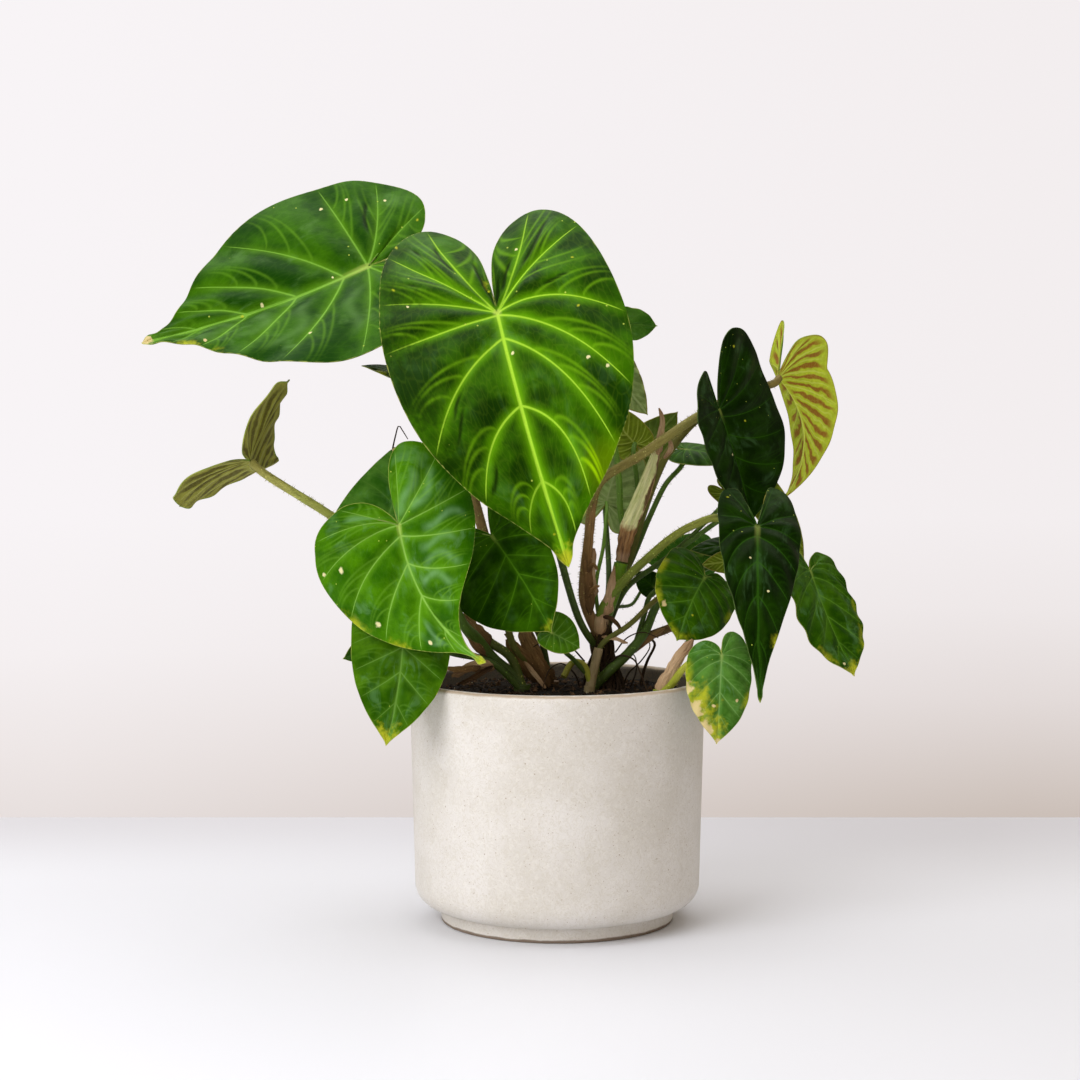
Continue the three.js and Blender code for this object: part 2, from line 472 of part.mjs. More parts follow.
// The last points of a petiole that comes from a point and meets a blade's underside at its hub: its
// end leans, so its radius decides how near the hub its middle can come
function arrival(blade, from, radius) {
  const { hub, out } = bladeFrame(blade);
  const back = from.clone().sub(hub).normalize();
  const [square, along] = PETIOLE_TILT;
  const lead = out.clone().multiplyScalar(-square).addScaledVector(back, along).normalize();
  const edge = END_REACH * radius * Math.sqrt(1 - lead.dot(out) ** 2);
  const end = hub.clone().addScaledVector(out, -(BLADE_THICKNESS / 2 + CLEARANCE + edge));
  return [end.clone().addScaledVector(lead, ARRIVAL), end];
}

function shootSolid({ root, radius, stems }) {
  const [x, y] = root;
  const buried = [POT_HEIGHT - ROOT_DEPTH, POT_HEIGHT - 2].map((z) => new THREE.Vector3(x, y, z));
  let solid = toSolid(stemGeometry(buried, [radius, radius]));
  for (const stem of stems) {
    const points = stem.route.map((point) => new THREE.Vector3(...point));
    const last = points[points.length - 1];
    if (stem.blade) points.push(...arrival(BLADES[stem.blade], last, stem.radius[1]));
    solid = solid.add(toSolid(stemGeometry(points, stem.radius, stem.flat)));
  }
  return solid;
}

function potGeometry() {
  const profile = [new THREE.Vector2(0, 0), new THREE.Vector2(FOOT_RADIUS - FOOT_BEVEL, 0)];
  profile.push(new THREE.Vector2(FOOT_RADIUS, FOOT_BEVEL));
  profile.push(new THREE.Vector2(FOOT_RADIUS, FOOT_HEIGHT - FOOT_BEVEL));
  const cornerHeight = LOW_HEIGHT - FOOT_HEIGHT;
  const cornerWidth = LOW_RADIUS - FOOT_RADIUS - FOOT_BEVEL;
  for (let i = 0; i <= CORNER_STEPS; i++) {
    const angle = (Math.PI / 2) * (i / CORNER_STEPS);
    const reach = FOOT_RADIUS + FOOT_BEVEL + cornerWidth * Math.sin(angle);
    profile.push(new THREE.Vector2(reach, FOOT_HEIGHT + cornerHeight * (1 - Math.cos(angle))));
  }
  const lip = WALL / 2;
  for (let i = 0; i <= RIM_STEPS; i++) {
    const angle = Math.PI * (i / RIM_STEPS);
    const reach = RIM_RADIUS - lip + lip * Math.cos(angle);
    profile.push(new THREE.Vector2(reach, POT_HEIGHT - lip + lip * Math.sin(angle)));
  }
  profile.push(new THREE.Vector2(LOW_RADIUS - WALL, LOW_HEIGHT), new THREE.Vector2(FOOT_RADIUS, FLOOR));
  profile.push(new THREE.Vector2(0, FLOOR));
  return new THREE.LatheGeometry(profile, POT_SIDES).rotateX(Math.PI / 2);
}

// Low unevenness of the soil
function lumps(x, y) {
  return 0.5 * Math.sin(x / 7 + 1) * Math.cos(y / 9);
}

function soilHeight(x, y, edgeShare) {
  return SOIL_EDGE + (SOIL_MOUND + lumps(x, y)) * (1 - edgeShare ** 2);
}

// The soil fills the pot from its floor, CLEARANCE off its inner faces
function soilSolid() {
  const outer = [
    [FOOT_RADIUS - 1, FLOOR + CLEARANCE],
    [LOW_RADIUS - WALL - CLEARANCE - SOIL_DRAFT, LOW_HEIGHT],
    [RIM_RADIUS - WALL - CLEARANCE - SOIL_DRAFT, SOIL_EDGE],
  ];
  const rings = [...outer, ...SOIL_RINGS.toReversed().map((share) => [share * outer[2][0], null])];
  const positions = [0, 0, outer[0][1]];
  for (const [radius, height] of rings) {
    for (let side = 0; side < SOIL_SIDES; side++) {
      const angle = (2 * Math.PI * side) / SOIL_SIDES;
      const x = radius * Math.cos(angle);
      const y = radius * Math.sin(angle);
      positions.push(x, y, height ?? soilHeight(x, y, radius / outer[2][0]));
    }
  }
  positions.push(0, 0, soilHeight(0, 0, 0));
  const at = (ring, side) => 1 + ring * SOIL_SIDES + (side % SOIL_SIDES);
  const top = positions.length / 3 - 1;
  const last = rings.length - 1;
  const indices = [];
  for (let side = 0; side < SOIL_SIDES; side++) {
    indices.push(0, at(0, side + 1), at(0, side));
    indices.push(top, at(last, side), at(last, side + 1));
    for (let ring = 0; ring < last; ring++) {
      indices.push(at(ring, side), at(ring, side + 1), at(ring + 1, side + 1));
      indices.push(at(ring, side), at(ring + 1, side + 1), at(ring + 1, side));
    }
  }
  const geometry = new THREE.BufferGeometry();
  geometry.setAttribute("position", new THREE.Float32BufferAttribute(positions, 3));
  geometry.setIndex(indices);
  let solid = toSolid(geometry);
  const holes = [...Object.values(SHOOTS), ROOT_CURL];
  for (const { root: [x, y], radius } of holes) {
    const depth = ROOT_DEPTH + CLEARANCE;
    const wide = radius + 2 * CLEARANCE;
    const hole = new THREE.CylinderGeometry(wide, wide, 2 * depth, HOLE_SIDES);
    hole.rotateX(Math.PI / 2).translate(x, y, POT_HEIGHT);
    solid = solid.subtract(toSolid(hole));
  }
  return solid;
}

addPiece("pot", potGeometry(), STONEWARE);
addPiece("soil", toGeometry(soilSolid()), POTTING_MIX);
for (const [name, blade] of Object.entries(BLADES)) {
  const upper = DARK_BLADES.includes(name) ? DARK_GREEN : GREEN;
  addPiece(name, bladeGeometry(blade), blade.face === BACK || name === "blade_young" ? UNDERSIDE : upper);
}
for (const [name, shoot] of Object.entries(SHOOTS)) addPiece(name, toGeometry(shootSolid(shoot)), PETIOLE);
const sheathPoints = SHEATH.route.map((point) => new THREE.Vector3(...point));
addPiece("sheath_new_leaf", stemGeometry(sheathPoints, SHEATH.radius, SHEATH.flat, SHEATH.step), DRY_SHEATH);
const curlPoints = ROOT_CURL.route.map((point) => new THREE.Vector3(...point));
const curlRadii = [ROOT_CURL.radius, ROOT_CURL.endRadius];
addPiece("root_curl", stemGeometry(curlPoints, curlRadii, 1, ROOT_CURL.step), POTTING_MIX);

export default part;
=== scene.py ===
"""The looks of a potted philodendron verrucosum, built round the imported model.

Metres, +Z up, camera on the -Y side. The tables are in millimetres, as the model's own are. Every blade,
stem and sheath is the model's own form with a finer surface: the heart-shaped blades get sunken veins,
puffed fields and pleats, and the petioles get bristles.
"""
import math

import bpy
import numpy as np
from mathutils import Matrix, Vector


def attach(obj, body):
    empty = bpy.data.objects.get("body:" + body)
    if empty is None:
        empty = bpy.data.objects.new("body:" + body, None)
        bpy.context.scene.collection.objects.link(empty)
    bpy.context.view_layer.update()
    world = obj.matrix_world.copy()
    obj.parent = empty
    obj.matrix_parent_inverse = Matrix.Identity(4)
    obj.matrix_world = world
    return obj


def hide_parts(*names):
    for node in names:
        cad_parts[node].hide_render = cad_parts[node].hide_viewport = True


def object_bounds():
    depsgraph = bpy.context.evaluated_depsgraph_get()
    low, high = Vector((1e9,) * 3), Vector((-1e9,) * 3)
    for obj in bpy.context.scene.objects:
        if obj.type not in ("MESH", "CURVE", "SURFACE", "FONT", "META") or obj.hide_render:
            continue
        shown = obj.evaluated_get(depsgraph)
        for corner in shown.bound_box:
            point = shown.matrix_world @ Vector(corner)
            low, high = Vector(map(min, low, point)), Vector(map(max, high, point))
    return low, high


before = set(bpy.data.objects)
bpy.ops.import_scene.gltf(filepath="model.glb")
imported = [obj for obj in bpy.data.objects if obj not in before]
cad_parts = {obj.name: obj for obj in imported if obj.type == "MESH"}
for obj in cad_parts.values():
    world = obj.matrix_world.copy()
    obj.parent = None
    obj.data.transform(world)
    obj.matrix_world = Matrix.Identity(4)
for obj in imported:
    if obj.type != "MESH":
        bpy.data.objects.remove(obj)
CAD_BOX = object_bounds()

MM = 0.001
SEEDS = dict(blades=2043, soil=2046, root_curl=2050, stems=2143, scraps=2343, threads=2443, beads=2543)

# Camera, at the height of the pot's leaves and looking slightly down
CAMERA_PLACE = (-0.0089, -1.2, 0.2687)
CAMERA_DROP = 0.0603  # radians below the horizon
CAMERA_LENS = 77.9

# Stage, with colours in the eye's own 0 to 255, as everywhere in this script
TABLE_EDGE = 0.29  # the table ends this far behind the pot's axis
TABLE_HALF = 2.5
# The table's tones mixed at random, the second also painted as shade to the right, and its painted shade at
# the back
TABLE_TONES = ((240, 242, 249), (231, 232, 237))
TABLE_BACK_SHADE = (222, 222, 228)

WALL_SHADE_SLOPES = (-0.05, -0.175)  # the view's slopes where the wall's painted shade starts and is darkest
WALL_HALF = 0.2
# The wall's tones down to the table, at the left and the right: painted shade, darkest at the lower right
WALL_LEFT = [(0, (248, 244, 246)), (0.45, (245, 240, 241)), (0.8, (237, 230, 229)), (1, (231, 223, 221))]
WALL_RIGHT = [(0, (243, 238, 239)), (0.3, (238, 232, 232)), (0.6, (227, 219, 217)), (1, (202, 190, 182))]
AMBIENT = 0.32
AMBIENT_TINT = (255, 238, 212)
# Each round light's place, target, diameter, watts and tint
LIGHTS = {
    "key": ((-1.15, -1.2, 1.0), (0, 0, 0.2), 1.4, 24.5, (247, 250, 255)),
    "top": ((0, 0.3, 1.8), (0, 0.1, 0.1), 2.6, 30, (250, 250, 255)),
    "front": ((0.1, -1.7, 0.75), (0, 0, 0.2), 0.8, 1.8, (255, 252, 246)),
}

# Pot, as in the model, with finer rounds
RIM_RADIUS = 76
POT_HEIGHT = 125
LOW_RADIUS = 73.5
LOW_HEIGHT = 20
FOOT_RADIUS = 60
FOOT_HEIGHT = 8
FOOT_BEVEL = 1
WALL = 5.5
FLOOR = 9
POT_SIDES = 176
CORNER_STEPS = 14
LIP_STEPS = 14
WALL_STEPS = 24
FOOT_STEPS = 6
# The foot tone is bare clay darkened as painted shade; the inner stain and dust tones are soil stain with
# painted shade on the inner wall
GLAZE = dict(low=(215, 209, 200), high=(226, 221, 215), curl=(200, 191, 172), cloud=(238, 234, 226),
    grain=(204, 197, 182), speck=(150, 122, 88), rim=(176, 148, 116), foot=(104, 80, 56), inner_stain_and_shade=(52, 40, 26),
    inner_dust_and_shade=(84, 68, 46))
GLAZE_SPECKS = ((2.3, 0.15, 0.62), (5.0, 0.1, 0.6), (1.3, 0.17, 0.68))  # spacing, radius and share without

# Soil
SOIL_EDGE = 116.5
SOIL_MOUND = 3.5
SOIL_RADIUS = 69.6
SOIL_RINGS = 90
SOIL_SIDES = 300
ROOT_DEPTH = 22
SOIL_LUMPS = ((5.2, 0.5), (2.6, 0.35), (1.3, 0.22))  # width and height
SOIL_TONES = ((11, 7, 1), (36, 24, 9))
CHUNK_TONE = (96, 72, 44)
# Each kind of loose bit: how many, their smallest and largest radius, and their dark and pale tones
CRUMB_KINDS = {
    "soil_crumbs": (1500, (0.5, 1.7), (22, 14, 7), (58, 41, 22)),
    "bark_chips": (260, (1.2, 3.2), (58, 40, 24), (104, 76, 48)),
    "pale_grit": (90, (0.4, 0.9), (150, 138, 110), (196, 188, 166)),
}

# Blades
FRONT = (0, -1, 0)
BACK = (0, 1, 0)
THICKNESS = 0.5
# Half of a heart from the notch to the tip, x in widths and y in lengths, or in lobes below the hub
HALF_OUTLINE = [
    (0.0, -0.06), (0.02, -0.36), (0.09, -0.68), (0.26, -0.93), (0.5, -1.0), (0.78, -0.82), (0.95, -0.38),
    (1.0, 0.08), (0.945, 0.34), (0.75, 0.58), (0.46, 0.78), (0.19, 0.91), (0.055, 0.965), (0.0, 1.0),
]
# How much a blade's notch and belly spread, and its low shifts, each point of the outline by number
NOTCH_SPREAD = {1: 0.1, 2: 0.17, 3: 0.1}
BELLY_SPREAD = {8: 0.04, 9: 0.09, 10: 0.1, 11: 0.05}
LOW_SHIFT = {5: 0.05, 6: 0.1, 7: 0.12, 8: 0.11, 9: 0.08, 10: 0.03}
# Veins are numbered from the notch, 0, to the tip, 8, with places between them as parts of a number
VEINS = 8
VEIN_BOW = 0.45  # the bend of a vein lies this share of its length along its first heading
LOBE_BOW = 40  # degrees for each vein, past which a vein doesn't set out farther back
WAVE_RATE = 1.7
WAVE_SHIFT = 1.3
LOBE_TWIST = 0.4
ROW_EASE = 1.15  # draws the rows of a blade's mesh towards the notch
# Rows and cells of half a blade's mesh
LARGE = (176, 64)
FINE = (96, 36)
MEDIUM = (60, 22)
SMALL = (38, 14)
FULL_LENGTH = 130  # length of a blade whose veins and relief are full size
LEAST_VEINS = 0.45
LEAST_RELIEF = 0.3
MARGIN_STEPS = 300
MAP_UNIT = 100  # millimetres to one unit of a blade's flat map
# Small veins: the share at which they leave a lateral, how far across the field they reach, and 1 if tipward
VEIN_ARCS = ((0.3, 0.66, 1), (0.5, 0.58, 1), (0.68, 0.46, 1), (0.36, 0.6, 0), (0.6, 0.4, 0))

# Hub and tip, roll round the line between them, half widths, lobes, and bends in degrees: the fold up from
# the midrib, the curl across, the droop along and the twist. Pairs are the half on the -across side and the
# other.
PLAIN_BLADE = dict(face=FRONT, roll=0, fold=(0, 0), lobe_droop=10, twist=0, notch=0, belly=0, low=0, sweep=0,
    wave=0)
BLADE_SHAPES = {
    "blade_front_large": dict(hub=(-30, -40, 311), tip=(5, -82, 188), roll=8, mesh=LARGE, width=(62, 61),
        lobe=(62, 61), fold=(6, 20), curl=(22, -14), droop=30, lobe_droop=23, twist=4, notch=-0.05,
        belly=-1.6, low=1.0, wave=0.6, look="glowing"),
    "blade_upper_left": dict(hub=(-98, 15, 337), tip=(-210, -17, 297), roll=43, mesh=LARGE, width=(62, 65),
        lobe=(43, 42), fold=(9, 14), curl=(8, 15), droop=-5, lobe_droop=6, twist=1, notch=-0.05,
        belly=-2.4, low=0.9, sweep=-4, wave=1.2, look="upper"),
    "blade_left_middle": dict(hub=(-78, -57, 207), tip=(-35, -81, 142), roll=-22, mesh=LARGE,
        width=(41, 46), lobe=(35, 20), fold=(50, -15), curl=(70, 26), droop=-61, lobe_droop=12,
        twist=-31, notch=0.3, belly=-3.3, low=0.4, sweep=6, wave=0.5, look="whitish_sheen"),
    "blade_left_low": dict(hub=(-77, -36, 158), tip=(-84, -70, 100), mesh=FINE, width=(24, 26),
        lobe=(24, 24), fold=(7, 8), curl=(13, 12), droop=12, twist=1, low=0.4, sweep=-2, wave=0.8,
        lobe_droop=12, look="fresh"),
    "blade_left_back": dict(hub=(-88, -13, 207), tip=(-84, 8, 244), roll=13, mesh=MEDIUM, width=(25, 21),
        lobe=(16, 16), fold=(7, 8), curl=(17, 18), droop=20, lobe_droop=12, twist=2, belly=-0.6,
        low=-0.5, sweep=4, wave=0.6, look="middle"),
    "blade_left_hidden": dict(hub=(-82, -20, 148), tip=(-109, -20, 137), roll=-30, mesh=SMALL,
        width=(12, 12), lobe=(9, 9), curl=(15, 15), droop=15, look="dark"),
    "blade_young": dict(hub=(-154, -30, 238), tip=(-148, 44, 236), face=(-0.7, 0.35, 0.6), roll=10,
        mesh=FINE, width=(43, 45), lobe=(29, 31), fold=(24, 32), curl=(30, 17), droop=-7, lobe_droop=-1,
        twist=4, notch=-0.05, belly=-1.6, low=-0.3, sweep=-7, wave=1, look="young"),
    "blade_behind_front": dict(hub=(-61, 28, 276), tip=(-102, 22, 286), roll=64, mesh=SMALL,
        width=(10, 11), lobe=(10, 10), curl=(24, 24), droop=15, look="dark"),
    "blade_centre_low": dict(hub=(-33, -29, 200), tip=(-3, -49, 153), roll=8, mesh=FINE, width=(22, 36),
        lobe=(21, 18), fold=(12, 8), curl=(13, 16), droop=21, lobe_droop=12, notch=0.8, belly=0.3,
        low=0.7, sweep=-2, wave=0.5, look="shade"),
    "blade_centre_small": dict(hub=(-3, -38, 152), tip=(11, -35, 144), roll=-27, mesh=SMALL,
        width=(12, 10), lobe=(6, 6), fold=(9, 16), curl=(16, 10), droop=18, lobe_droop=11, look="fresh"),
    "blade_back_top": dict(hub=(23, 30, 310), tip=(53, 34, 307), roll=20, mesh=MEDIUM, width=(9, 9),
        lobe=(10, 10), fold=(12, 12), curl=(15, 15), droop=15, belly=2, low=1, wave=0.6, look="middle"),
    "blade_back_wavy": dict(hub=(22, 60, 295), tip=(49, 54, 260), face=BACK, mesh=MEDIUM, width=(15, 13),
        lobe=(12, 12), curl=(20, 20), droop=20, wave=1.8, look="grey"),
    "blade_back_curled": dict(hub=(38, 52, 231), tip=(65, 53, 262), face=BACK, mesh=MEDIUM,
        width=(15, 14), lobe=(11, 11), fold=(10, 10), curl=(60, 60), droop=30, wave=0.8, look="dark"),
    "blade_back_olive": dict(hub=(41, 26, 245), tip=(22, 30, 267), face=BACK, mesh=SMALL, width=(11, 11),
        lobe=(7, 7), fold=(8, 8), curl=(25, 25), droop=20, look="olive"),
    "blade_back_grey": dict(hub=(26, 32, 214), tip=(38, 39, 254), face=BACK, mesh=MEDIUM, width=(20, 18),
        lobe=(15, 15), curl=(20, 20), droop=10, notch=0.6, wave=1.2, look="grey"),
    "blade_back_right": dict(hub=(68, 34, 242), tip=(96, 30, 235), face=(0.1, -0.45, 0.9), mesh=SMALL,
        width=(13, 13), lobe=(9, 9), curl=(20, 20), droop=20, look="shade"),
    "blade_right_upper": dict(hub=(83, 3, 263), tip=(101, 9, 205), roll=-42, mesh=FINE, width=(38, 25),
        lobe=(39, 24), fold=(16, 22), curl=(23, 12), droop=-10, lobe_droop=-9, twist=-12, notch=0.5,
        belly=0.5, low=-0.2, sweep=-3, wave=0.5, look="deep"),
    "blade_right_lower": dict(hub=(101, -20, 204), tip=(99, -62, 120), roll=-9, mesh=FINE,
        width=(25, 20), lobe=(32, 26), fold=(1, 8), curl=(29, 22), droop=29, lobe_droop=14, twist=2,
        notch=1.0, belly=-2.3, low=-0.5, sweep=2, wave=1.0, look="deep"),
    "blade_right_new": dict(hub=(117, 38, 280), tip=(120, 35, 216), face=BACK, roll=-9, mesh=FINE,
        width=(33, 35), lobe=(22, 19), fold=(109, 35), curl=(25, 15), droop=36, lobe_droop=13, twist=20,
        notch=0.7, belly=-0.6, low=-0.6, sweep=14, wave=0.6, look="striped"),
    "blade_right_outer": dict(hub=(129, -10, 181), tip=(151, -19, 128), roll=-45, mesh=FINE,
        width=(25, 24), lobe=(8, 17), fold=(6, 17), curl=(25, 13), droop=2, lobe_droop=7, twist=-13,
        notch=0.2, belly=0.5, low=0.9, sweep=2, wave=1.0, look="satin"),
    "blade_right_inner": dict(hub=(76, 0, 177), tip=(60, -29, 147), roll=-10, mesh=MEDIUM,
        width=(24, 23), lobe=(13, 15), fold=(0, 3), curl=(24, 17), droop=26, lobe_droop=19, twist=-4,
        notch=0.6, belly=1.0, sweep=2, wave=0.4, look="satin"),
    "blade_rim_yellow": dict(hub=(81, -48, 142), tip=(78, -58, 99), roll=-20, mesh=MEDIUM,
        width=(18, 18), lobe=(14, 7), fold=(5, 3), curl=(25, 24), droop=25, lobe_droop=12, twist=-2,
        low=0.7, sweep=1, wave=0.5, look="ageing"),
    "blade_inner_olive": dict(hub=(77, 38, 186), tip=(48, 35, 182), roll=10, mesh=SMALL, width=(13, 13),
        lobe=(8, 8), curl=(30, 30), droop=20, look="middle"),
    "blade_inner_flat": dict(hub=(95, 27, 192), tip=(70, 28, 189), face=(0, -0.6, 0.8), mesh=SMALL,
        width=(9, 9), lobe=(6, 6), curl=(15, 15), droop=15, look="dark"),
    "blade_inner_green": dict(hub=(97, 19, 185), tip=(75, 16, 182), face=BACK, mesh=SMALL, width=(7, 7),
        lobe=(5, 5), curl=(20, 20), droop=15, look="olive"),
    "blade_outer_olive": dict(hub=(107, 21, 218), tip=(129, 16, 185), face=BACK, mesh=SMALL,
        width=(9, 11), lobe=(7, 7), curl=(25, 25), droop=20, look="olive"),
    "blade_outer_small": dict(hub=(89, 26, 220), tip=(105, 30, 209), face=BACK, mesh=SMALL, width=(7, 7),
        lobe=(11, 9), curl=(15, 15), droop=15, look="olive"),
    "blade_inner_small": dict(hub=(51, 26, 170), tip=(41, 22, 178), mesh=SMALL, width=(7, 7),
        lobe=(4, 4), curl=(15, 15), droop=15, look="dark"),
}
BLADES = {name: {**PLAIN_BLADE, **shape} for name, shape in BLADE_SHAPES.items()}

# Where some blades' veins leave the midrib and reach the margin, and which way they set out, for the half on
# the -across side and the other; how plain each vein is; pleats, painted dark as shade, and pale painted
# sheens as half, vein, near and far share; a painted glow of light as place and radius; and marks as place,
# radius and kind
VEIN_PLANS = {
    "blade_front_large": dict(
        starts=[0, 0, 0, 0, 0.01, 0.11, 0.39, 0.68, 1],
        ends=([0, 0.23, 0.34, 0.55, 0.685, 0.79, 0.886, 0.945, 1],
            [0, 0.24, 0.35, 0.455, 0.545, 0.73, 0.835, 0.92, 1]),
        headings=([178, 144, 138, 108, 68, 54, 62, 54, 26], [178, 148, 138, 118, 80, 60, 64, 58, 26]),
        rays=([0, 0.7, 1, 1, 1, 1, 1, 0.8, 0], [0, 0.8, 1, 0.9, 1, 1, 1, 0.6, 0]),
        pleats=[(0, 1.5, 0.42, 0.96), (0, 0.82, 0.2, 0.62), (0, 0.5, 0.18, 0.6), (0, 2.62, 0.42, 0.78),
            (1, 0.55, 0.32, 0.82), (1, 1.1, 0.45, 0.88), (1, 1.6, 0.72, 0.96), (1, 2.6, 0.66, 0.86),
            (1, 4.15, 0.58, 0.74), (1, 5.15, 0.45, 0.75), (1, 5.3, 0.52, 0.86), (1, 6.15, 0.55, 0.95)],
        glow=(-36, 96, 22),
        # The deep marks are painted shade over one half of this blade
        marks=[(52, -12, 20, "deep"), (56, 20, 19, "deep"), (50, 48, 17, "deep"), (40, 74, 12, "deep"),
            (5, -19, 6, "edge"), (2, -14, 1.2, "yellow"), (44, -7, 0.9, "scar"), (-3, 25, 1.2, "scar"),
            (-38, 40, 1.2, "scar"), (-46, 46, 1.4, "scar"), (-43, -18, 1.0, "yellow"),
            (45, -46, 1.2, "yellow"), (50, -16, 1.3, "yellow"), (-40, 11, 1.0, "yellow"),
            (-16, -36, 1.1, "scar"), (0, 133, 9, "yellow"), (2, 119, 0.9, "yellow")]),
    "blade_upper_left": dict(
        starts=[0, 0, 0, 0, 0.11, 0.33, 0.55, 0.76, 1],
        ends=([0, 0.2, 0.38, 0.55, 0.71, 0.8, 0.88, 0.94, 1], [0, 0.2, 0.33, 0.45, 0.7, 0.83, 0.9, 0.95, 1]),
        headings=([180, 156, 120, 76, 52, 42, 38, 32, 26], [180, 158, 130, 88, 60, 48, 40, 34, 26]),
        pleats=[(1, 2.3, 0.35, 0.8)],
        sheens=[(0, 3.3, 0.2, 0.8), (0, 4.4, 0.2, 0.9), (0, 5.3, 0.2, 0.8), (0, 6.2, 0.2, 0.9),
            (0, 6.8, 0.2, 0.9)],
        marks=[(48, 7, 1.3, "scar"), (46, -7, 1.0, "scar"), (38, -25, 1.1, "scar"), (18, -35, 1.2, "yellow"),
            (2, 59, 1.2, "scar"), (0, 71, 1.1, "yellow"), (-32, 45, 1.1, "scar"), (3, 19, 0.8, "scar"),
            (0, 121, 4, "tan"), (-9, 102, 8, "edge"), (-17, 86, 7, "edge"), (-12, 94, 1.2, "tan")]),
    "blade_left_middle": dict(
        sheens=[(0, 1.5, 0.1, 0.75), (0, 2.2, 0.25, 0.85), (0, 3.5, 0.3, 0.9), (0, 4.2, 0.25, 0.8),
            (0, 4.7, 0.3, 0.9), (0, 5.3, 0.2, 0.85), (1, 6.5, 0.3, 0.9), (1, 1.3, 0.3, 0.8)],
        marks=[(33, 9, 1.8, "scar"), (43, 8, 1.0, "scar"), (27, 36, 1.8, "scar"), (10, 57, 1.6, "scar"),
            (38, 32, 9, "edge"), (26, 50, 9, "edge"), (0, 84, 8, "yellow")]),
    "blade_left_low": dict(marks=[(0, 68, 12, "yellow"), (0, 71, 3, "tan"), (-20, 38, 1.2, "yellow")]),
    "blade_left_back": dict(marks=[(0, 40, 3, "tan")]),
    "blade_centre_low": dict(marks=[(0, 55, 4, "edge")]),
    "blade_behind_front": dict(marks=[(-5, 32, 7, "edge"), (-3, 22, 6, "edge")]),
    "blade_right_lower": dict(
        marks=[(-9, 64, 5, "edge"), (-9, 66, 2.2, "yellow"), (-9, 68, 1.6, "dark"), (7, 78, 2.2, "tan"),
            (0, 96, 4, "yellow"), (9, 70, 4, "edge"),
            (14, -18, 1.0, "yellow"), (4, 20, 0.8, "scar"), (-5, 38, 0.8, "scar")]),
    "blade_right_upper": dict(
        marks=[(-16, -30, 1.0, "yellow"), (4, 24, 0.8, "scar"), (-12, 10, 0.8, "yellow")]),
    "blade_right_outer": dict(
        marks=[(-17, 24, 9, "edge"), (-12, 38, 10, "edge"), (12, 42, 8, "edge"), (0, 56, 8, "yellow"),
            (0, 59, 2.2, "tan"), (4, 50, 0.9, "scar")]),
    "blade_right_inner": dict(
        marks=[(22, 8, 9, "edge"), (15, 25, 10, "edge"), (13, 31, 1.8, "tan"), (-20, 10, 8, "edge"),
            (0, 38, 9, "edge"), (-3, 28, 0.8, "yellow")]),
    "blade_rim_yellow": dict(
        marks=[(17, 12, 12, "edge"), (12, 26, 13, "yellow"), (4, 38, 11, "yellow"), (18, 18, 4.5, "tan"),
            (13, 29, 5.5, "tan"), (7, 37, 5, "tan"), (0, 44, 3, "tan"), (-9, 22, 1.1, "tan"),
            (3, 26, 1.0, "tan"), (-14, 22, 8, "edge")]),
}
PLAIN_PLAN = dict(starts=[0, 0, 0, 0, 0.06, 0.22, 0.42, 0.66, 1],
    ends=([0, 0.2, 0.33, 0.45, 0.565, 0.675, 0.785, 0.895, 1],) * 2,
    headings=([180, 158, 128, 100, 72, 52, 42, 34, 26],) * 2,
    rays=([0, 0.7, 0.9, 0.9, 1, 1, 1, 0.7, 0],) * 2, pleats=[], sheens=[], marks=[], glow=None)
# Colour, strength and softness of each kind of mark on a blade; a deep mark is painted shade
MARK_KINDS = {
    "deep": ((16, 40, 1), 0.6, 1.0),
    "edge": ((186, 190, 40), 0.7, 0.9),
    "yellow": ((186, 186, 42), 0.8, 0.8),
    "tan": ((218, 196, 142), 0.9, 0.35),
    "scar": ((236, 226, 170), 0.9, 0.5),
    "dark": ((66, 42, 14), 0.9, 0.5),
}
